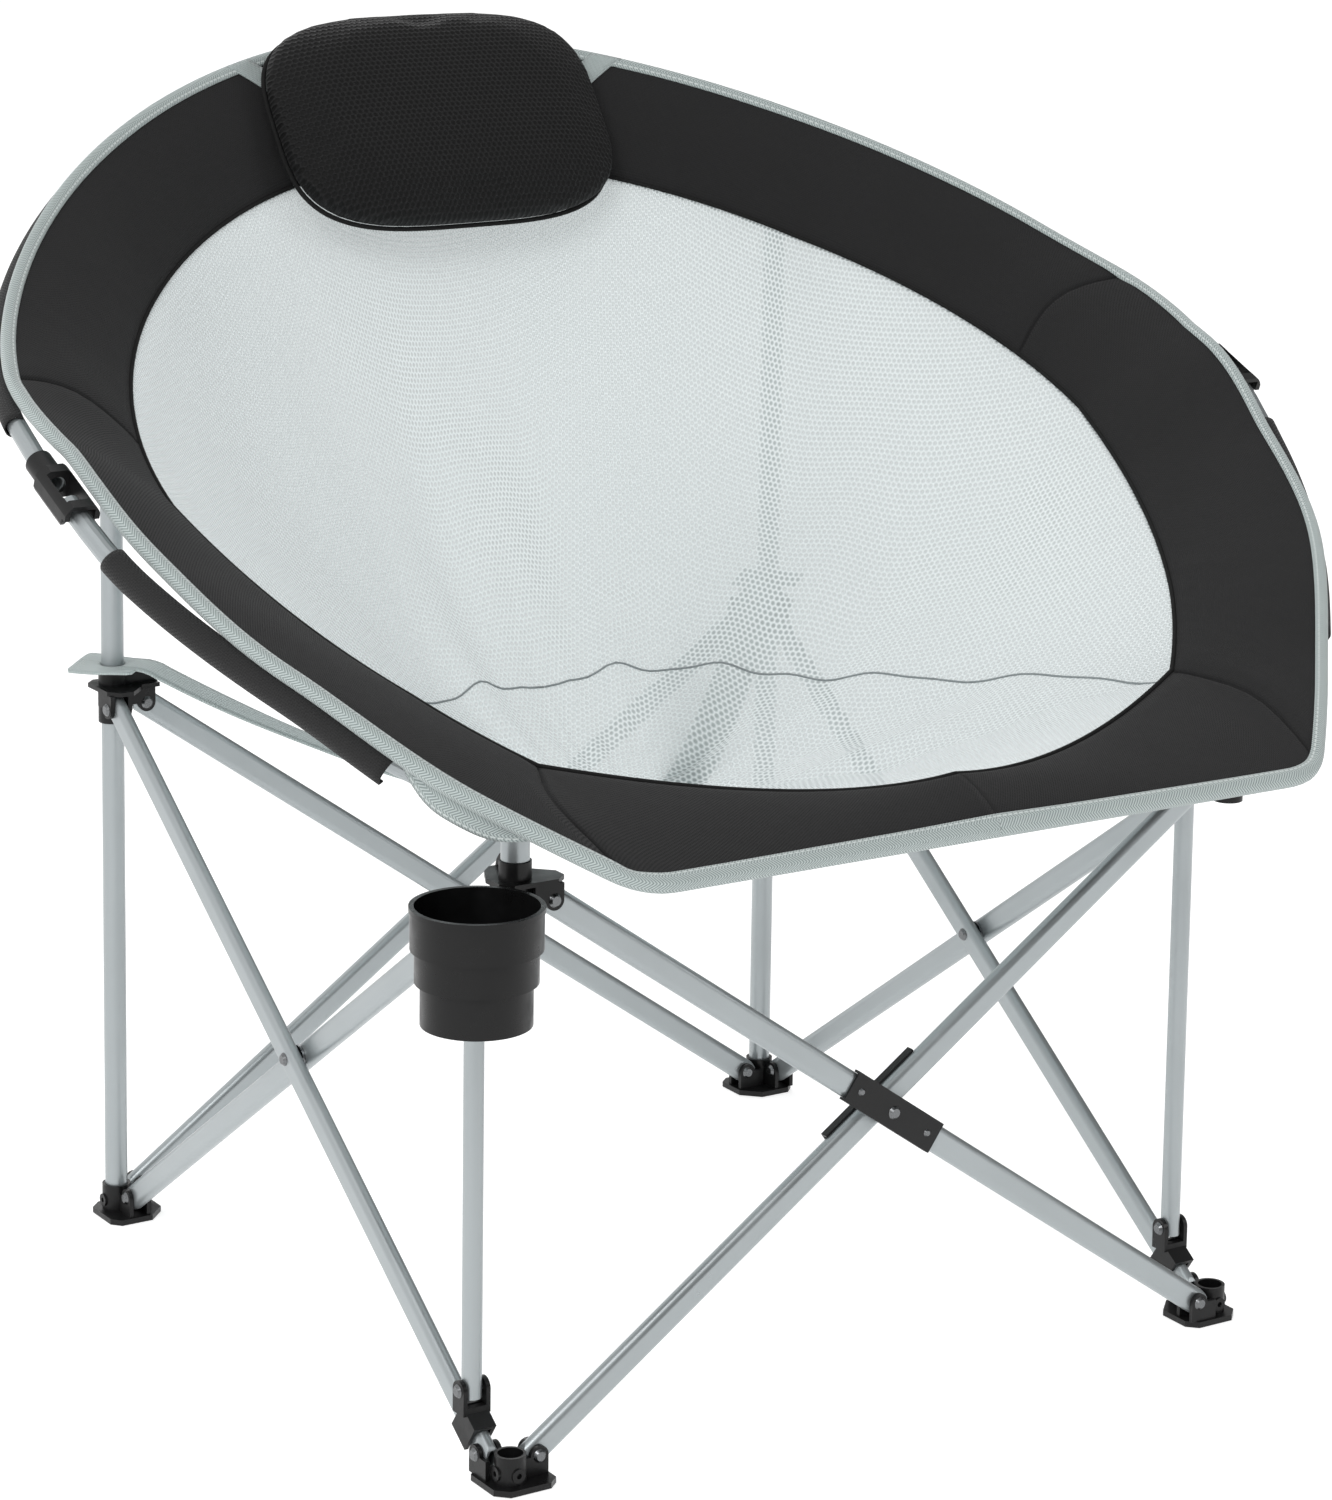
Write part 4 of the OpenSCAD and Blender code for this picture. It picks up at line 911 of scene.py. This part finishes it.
# %% Pillow shape
RINGS = ((0.08, 0.985), (0.22, 0.97), (0.38, 0.93), (0.54, 0.865), (0.68, 0.775), (0.79, 0.67), (0.875, 0.54),
         (0.94, 0.39), (0.98, 0.23), (1.0, 0.03), (1.0, -0.2), (0.985, -0.42), (0.95, -0.65), (0.86, -0.84),
         (0.7, -0.94), (0.45, -0.97), (0.2, -0.98), (0.08, -0.98))


def squircle(t, power=0.57):
    c, s = cos(t), sin(t)
    return (abs(c) ** power * (1 if c > 0 else -1), abs(s) ** power * (1 if s > 0 else -1))


tilt = Matrix.Rotation(radians(PILLOW_TILT), 4, "X")


def pillow_place(x, y, z):
    return tilt @ Vector((x, y, z)) + Vector(PILLOW_AT)


HALF_WIDE, HALF_HIGH, HALF_THICK = 134.5, 85.5, 20.5
rows = []
for scale, height in RINGS:
    row = []
    for k in range(72):
        a, b = squircle(2 * pi * k / 72)
        row.append(pillow_place(a * scale * HALF_WIDE, b * scale * HALF_HIGH, height * HALF_THICK))
    rows.append(row)
uvs = [[(k * 11.0, i * 8.0) for k in range(73)] for i in range(len(rows))]
pillow = grid("head_pillow", rows, uvs, spacer, wrap=True, caps=True)
print("pillow faces:", len(pillow.data.polygons))

# %% Blow up the pillow
remesh = pillow.modifiers.new("even faces", "REMESH")
remesh.mode = "VOXEL"
remesh.voxel_size = 0.004
bpy.context.view_layer.update()
even = bpy.data.meshes.new_from_object(pillow.evaluated_get(bpy.context.evaluated_depsgraph_get()))
pillow.modifiers.clear()
pillow.data = even
before = [v.co.copy() for v in even.vertices]
cloth_mod = pillow.modifiers.new("cloth", "CLOTH")
cloth_mod.settings.use_pressure = True
cloth_mod.settings.uniform_pressure_force = 4.0
cloth_mod.settings.quality = 5
cloth_mod.settings.effector_weights.gravity = 0.0
cloth_mod.point_cache.frame_start = 1
cloth_mod.point_cache.frame_end = 20
for f in range(1, 21):
    bpy.context.scene.frame_set(f)
puffed = pillow.evaluated_get(bpy.context.evaluated_depsgraph_get()).to_mesh()
after = [v.co.copy() for v in puffed.vertices]
pillow.modifiers.clear()
bpy.context.scene.frame_set(1)
front = tilt.to_3x3() @ Vector((0, 0, 1))
centre = Vector(PILLOW_AT) * MM
for v, a, b in zip(even.vertices, before, after):
    facing = (a - centre).dot(front) / 0.02
    cap = 0.005 * ease(facing / 0.8)
    v.co = a + front * min(cap, max(0.0, (b - a).dot(front)))
even.shade_smooth()
finer = pillow.modifiers.new("smooth", "SUBSURF")
finer.levels = finer.render_levels = 1
print("pillow points:", len(even.vertices))

# %% Piping, and the webbing that ties the pillow to the tape
loop = []
for k in range(97):
    a, b = squircle(2 * pi * k / 96)
    loop.append(pillow_place(a * 133.4, b * 85.0, -10.5))
piping = pipe("pillow_piping", loop, 1.8, thread_dark, towards=Vector(PILLOW_AT), sides=8)
ties = []
for label, sign, u0, u1 in (("left", -1, 0.205, 0.150), ("right", 1, 0.262, 0.205)):
    rows, uvs = [], []
    for i in range(15):
        w = 0.985 - 0.50 * i / 14
        u = u0 + (u1 - u0) * i / 14
        row, uv = [], []
        for y in (-1, -0.5, 0, 0.5, 1):
            v = u + y * 0.0155
            row.append((band_point(v, w, band_height(v, w) + 1.7), y))
        top = turned([p for p, _ in row], sign)
        low = [p - RIM_UP * 1.2 for p in reversed(top)]
        rows.append(top + low)
        line = [(i * 4.0, 15 + 10 * y) for _, y in row]
        uvs.append(line + list(reversed(line)) + [line[0]])
    ties.append(grid(f"pillow_tie_{label}", rows, uvs, webbing, wrap=True, caps=True))

# %% [markdown]
# ## Join the cloth to the moving frame
# On the real chair each half of the seat bends at its elbow, from the back arc to the side tube, and the
# straps and pillow crumple. Here the sleeves, straps, patches, pillow, piping and ties ride the bodies they
# hang on, and band, net, tape, hems and seams stay as built. Folded, the pillow hangs clear of the band,
# and the two halves of the seat cross: both are open faults. Band, net, tape, side sleeves, straps and
# pillow take the place of the physics model's plain solids.

# %% Riding on the bodies of the frame
for side, sign in SIDES.items():
    arc_body, side_body = f"{side}_arc", f"{side}_side"
    soft_pieces = [band[side], seat[side], tape[side], flaps[side]] + trims[side]
    for obj in soft_pieces:
        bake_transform(obj)
    for obj in sleeves[side]:
        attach(obj, side_body)
    for obj in back_sleeves[side]:
        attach(obj, arc_body)
    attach(patches[side], f"rear_{side}_hub")
    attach(straps[side], f"rear_{side}_hub")
    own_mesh(straps[side])
    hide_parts(f"band_{side}")
    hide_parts(f"mesh_{side}")
    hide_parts(f"binding_{side}")
    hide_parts(f"sleeve_{side}")
    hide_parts(f"strap_{side}")
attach(pillow, "left_arc")
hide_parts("pillow")
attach(piping, "left_arc")
for obj in (pillow, piping):
    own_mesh(obj)
for obj, body in zip(ties, ("left_arc", "right_arc")):
    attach(obj, body)
print("cloth joined")

# %% [markdown]
# ## Floor, light and background
# The chair stands in a bright white room. A plain white floor would come out grey, so it glows a little:
# it turns white, and only the contact shadows stay. Bright metal shows what surrounds it, so the world is
# bright on one side and dim on the other, which models the round tubes. Three large lamps give soft light.

# %% Floor
bpy.ops.mesh.primitive_plane_add(size=30, location=(0, 0, -0.0006))
floor = bpy.context.object
floor.name = "floor"
ground_mat = bpy.data.materials.new("pale floor")
ground_mat.use_nodes = True
tree = ground_mat.node_tree
tree.nodes.clear()
plain = tree.nodes.new("ShaderNodeBsdfDiffuse")
plain.inputs["Color"].default_value = (0.55, 0.55, 0.55, 1)
glow = tree.nodes.new("ShaderNodeEmission")
glow.inputs["Strength"].default_value = 0.72
both_ = tree.nodes.new("ShaderNodeAddShader")
out = tree.nodes.new("ShaderNodeOutputMaterial")
tree.links.new(plain.outputs[0], both_.inputs[0])
tree.links.new(glow.outputs[0], both_.inputs[1])
tree.links.new(both_.outputs[0], out.inputs["Surface"])
floor.data.materials.append(ground_mat)

# %% World: white to the camera; to the object bright on the left and dim on the right
world = bpy.data.worlds.new("studio")
bpy.context.scene.world = world
world.use_nodes = True
tree = world.node_tree
tree.nodes.clear()
paths = tree.nodes.new("ShaderNodeLightPath")
seen = arith(tree, "MAXIMUM", paths.outputs["Is Camera Ray"], paths.outputs["Is Transmission Ray"])
direction = tree.nodes.new("ShaderNodeTexCoord").outputs["Generated"]
aside = tree.nodes.new("ShaderNodeVectorMath")
aside.operation = "DOT_PRODUCT"
tree.links.new(direction, aside.inputs[0])
aside.inputs[1].default_value = (-across.x, -across.y, 0.35)
strengths = (arith(tree, "MULTIPLY_ADD", smooth(tree, aside.outputs["Value"], -0.5, 0.7), 0.85, 0.16), 1.0)
backs = []
for strength in strengths:
    back = tree.nodes.new("ShaderNodeBackground")
    back.inputs["Color"].default_value = (1, 1, 1, 1)
    if isinstance(strength, float):
        back.inputs["Strength"].default_value = strength
    else:
        tree.links.new(strength, back.inputs["Strength"])
    backs.append(back)
pick = tree.nodes.new("ShaderNodeMixShader")
tree.links.new(seen, pick.inputs["Fac"])
tree.links.new(backs[0].outputs[0], pick.inputs[1])
tree.links.new(backs[1].outputs[0], pick.inputs[2])
out = tree.nodes.new("ShaderNodeOutputWorld")
tree.links.new(pick.outputs[0], out.inputs["Surface"])


# %% Lamps
def lamp(name, at, power, size):
    data = bpy.data.lights.new(name, "AREA")
    data.energy = power
    data.shape = "DISK"
    data.size = size
    obj = bpy.data.objects.new(name, data)
    bpy.context.scene.collection.objects.link(obj)
    obj.location = at
    obj.rotation_euler = (Vector((0, 0, 0.45)) - Vector(at)).to_track_quat("-Z", "Y").to_euler()
    return obj


lamp("key", (-2.6, -2.2, 3.0), 62, 1.8)
lamp("fill", (2.8, -2.6, 2.0), 34, 2.2)
lamp("back", (0.8, 3.0, 2.6), 30, 1.8)
bpy.context.scene.view_settings.view_transform = "Standard"
bpy.context.scene.view_settings.look = "None"
bpy.context.scene.view_settings.exposure = 0.0
bpy.context.scene.view_settings.gamma = 1.0
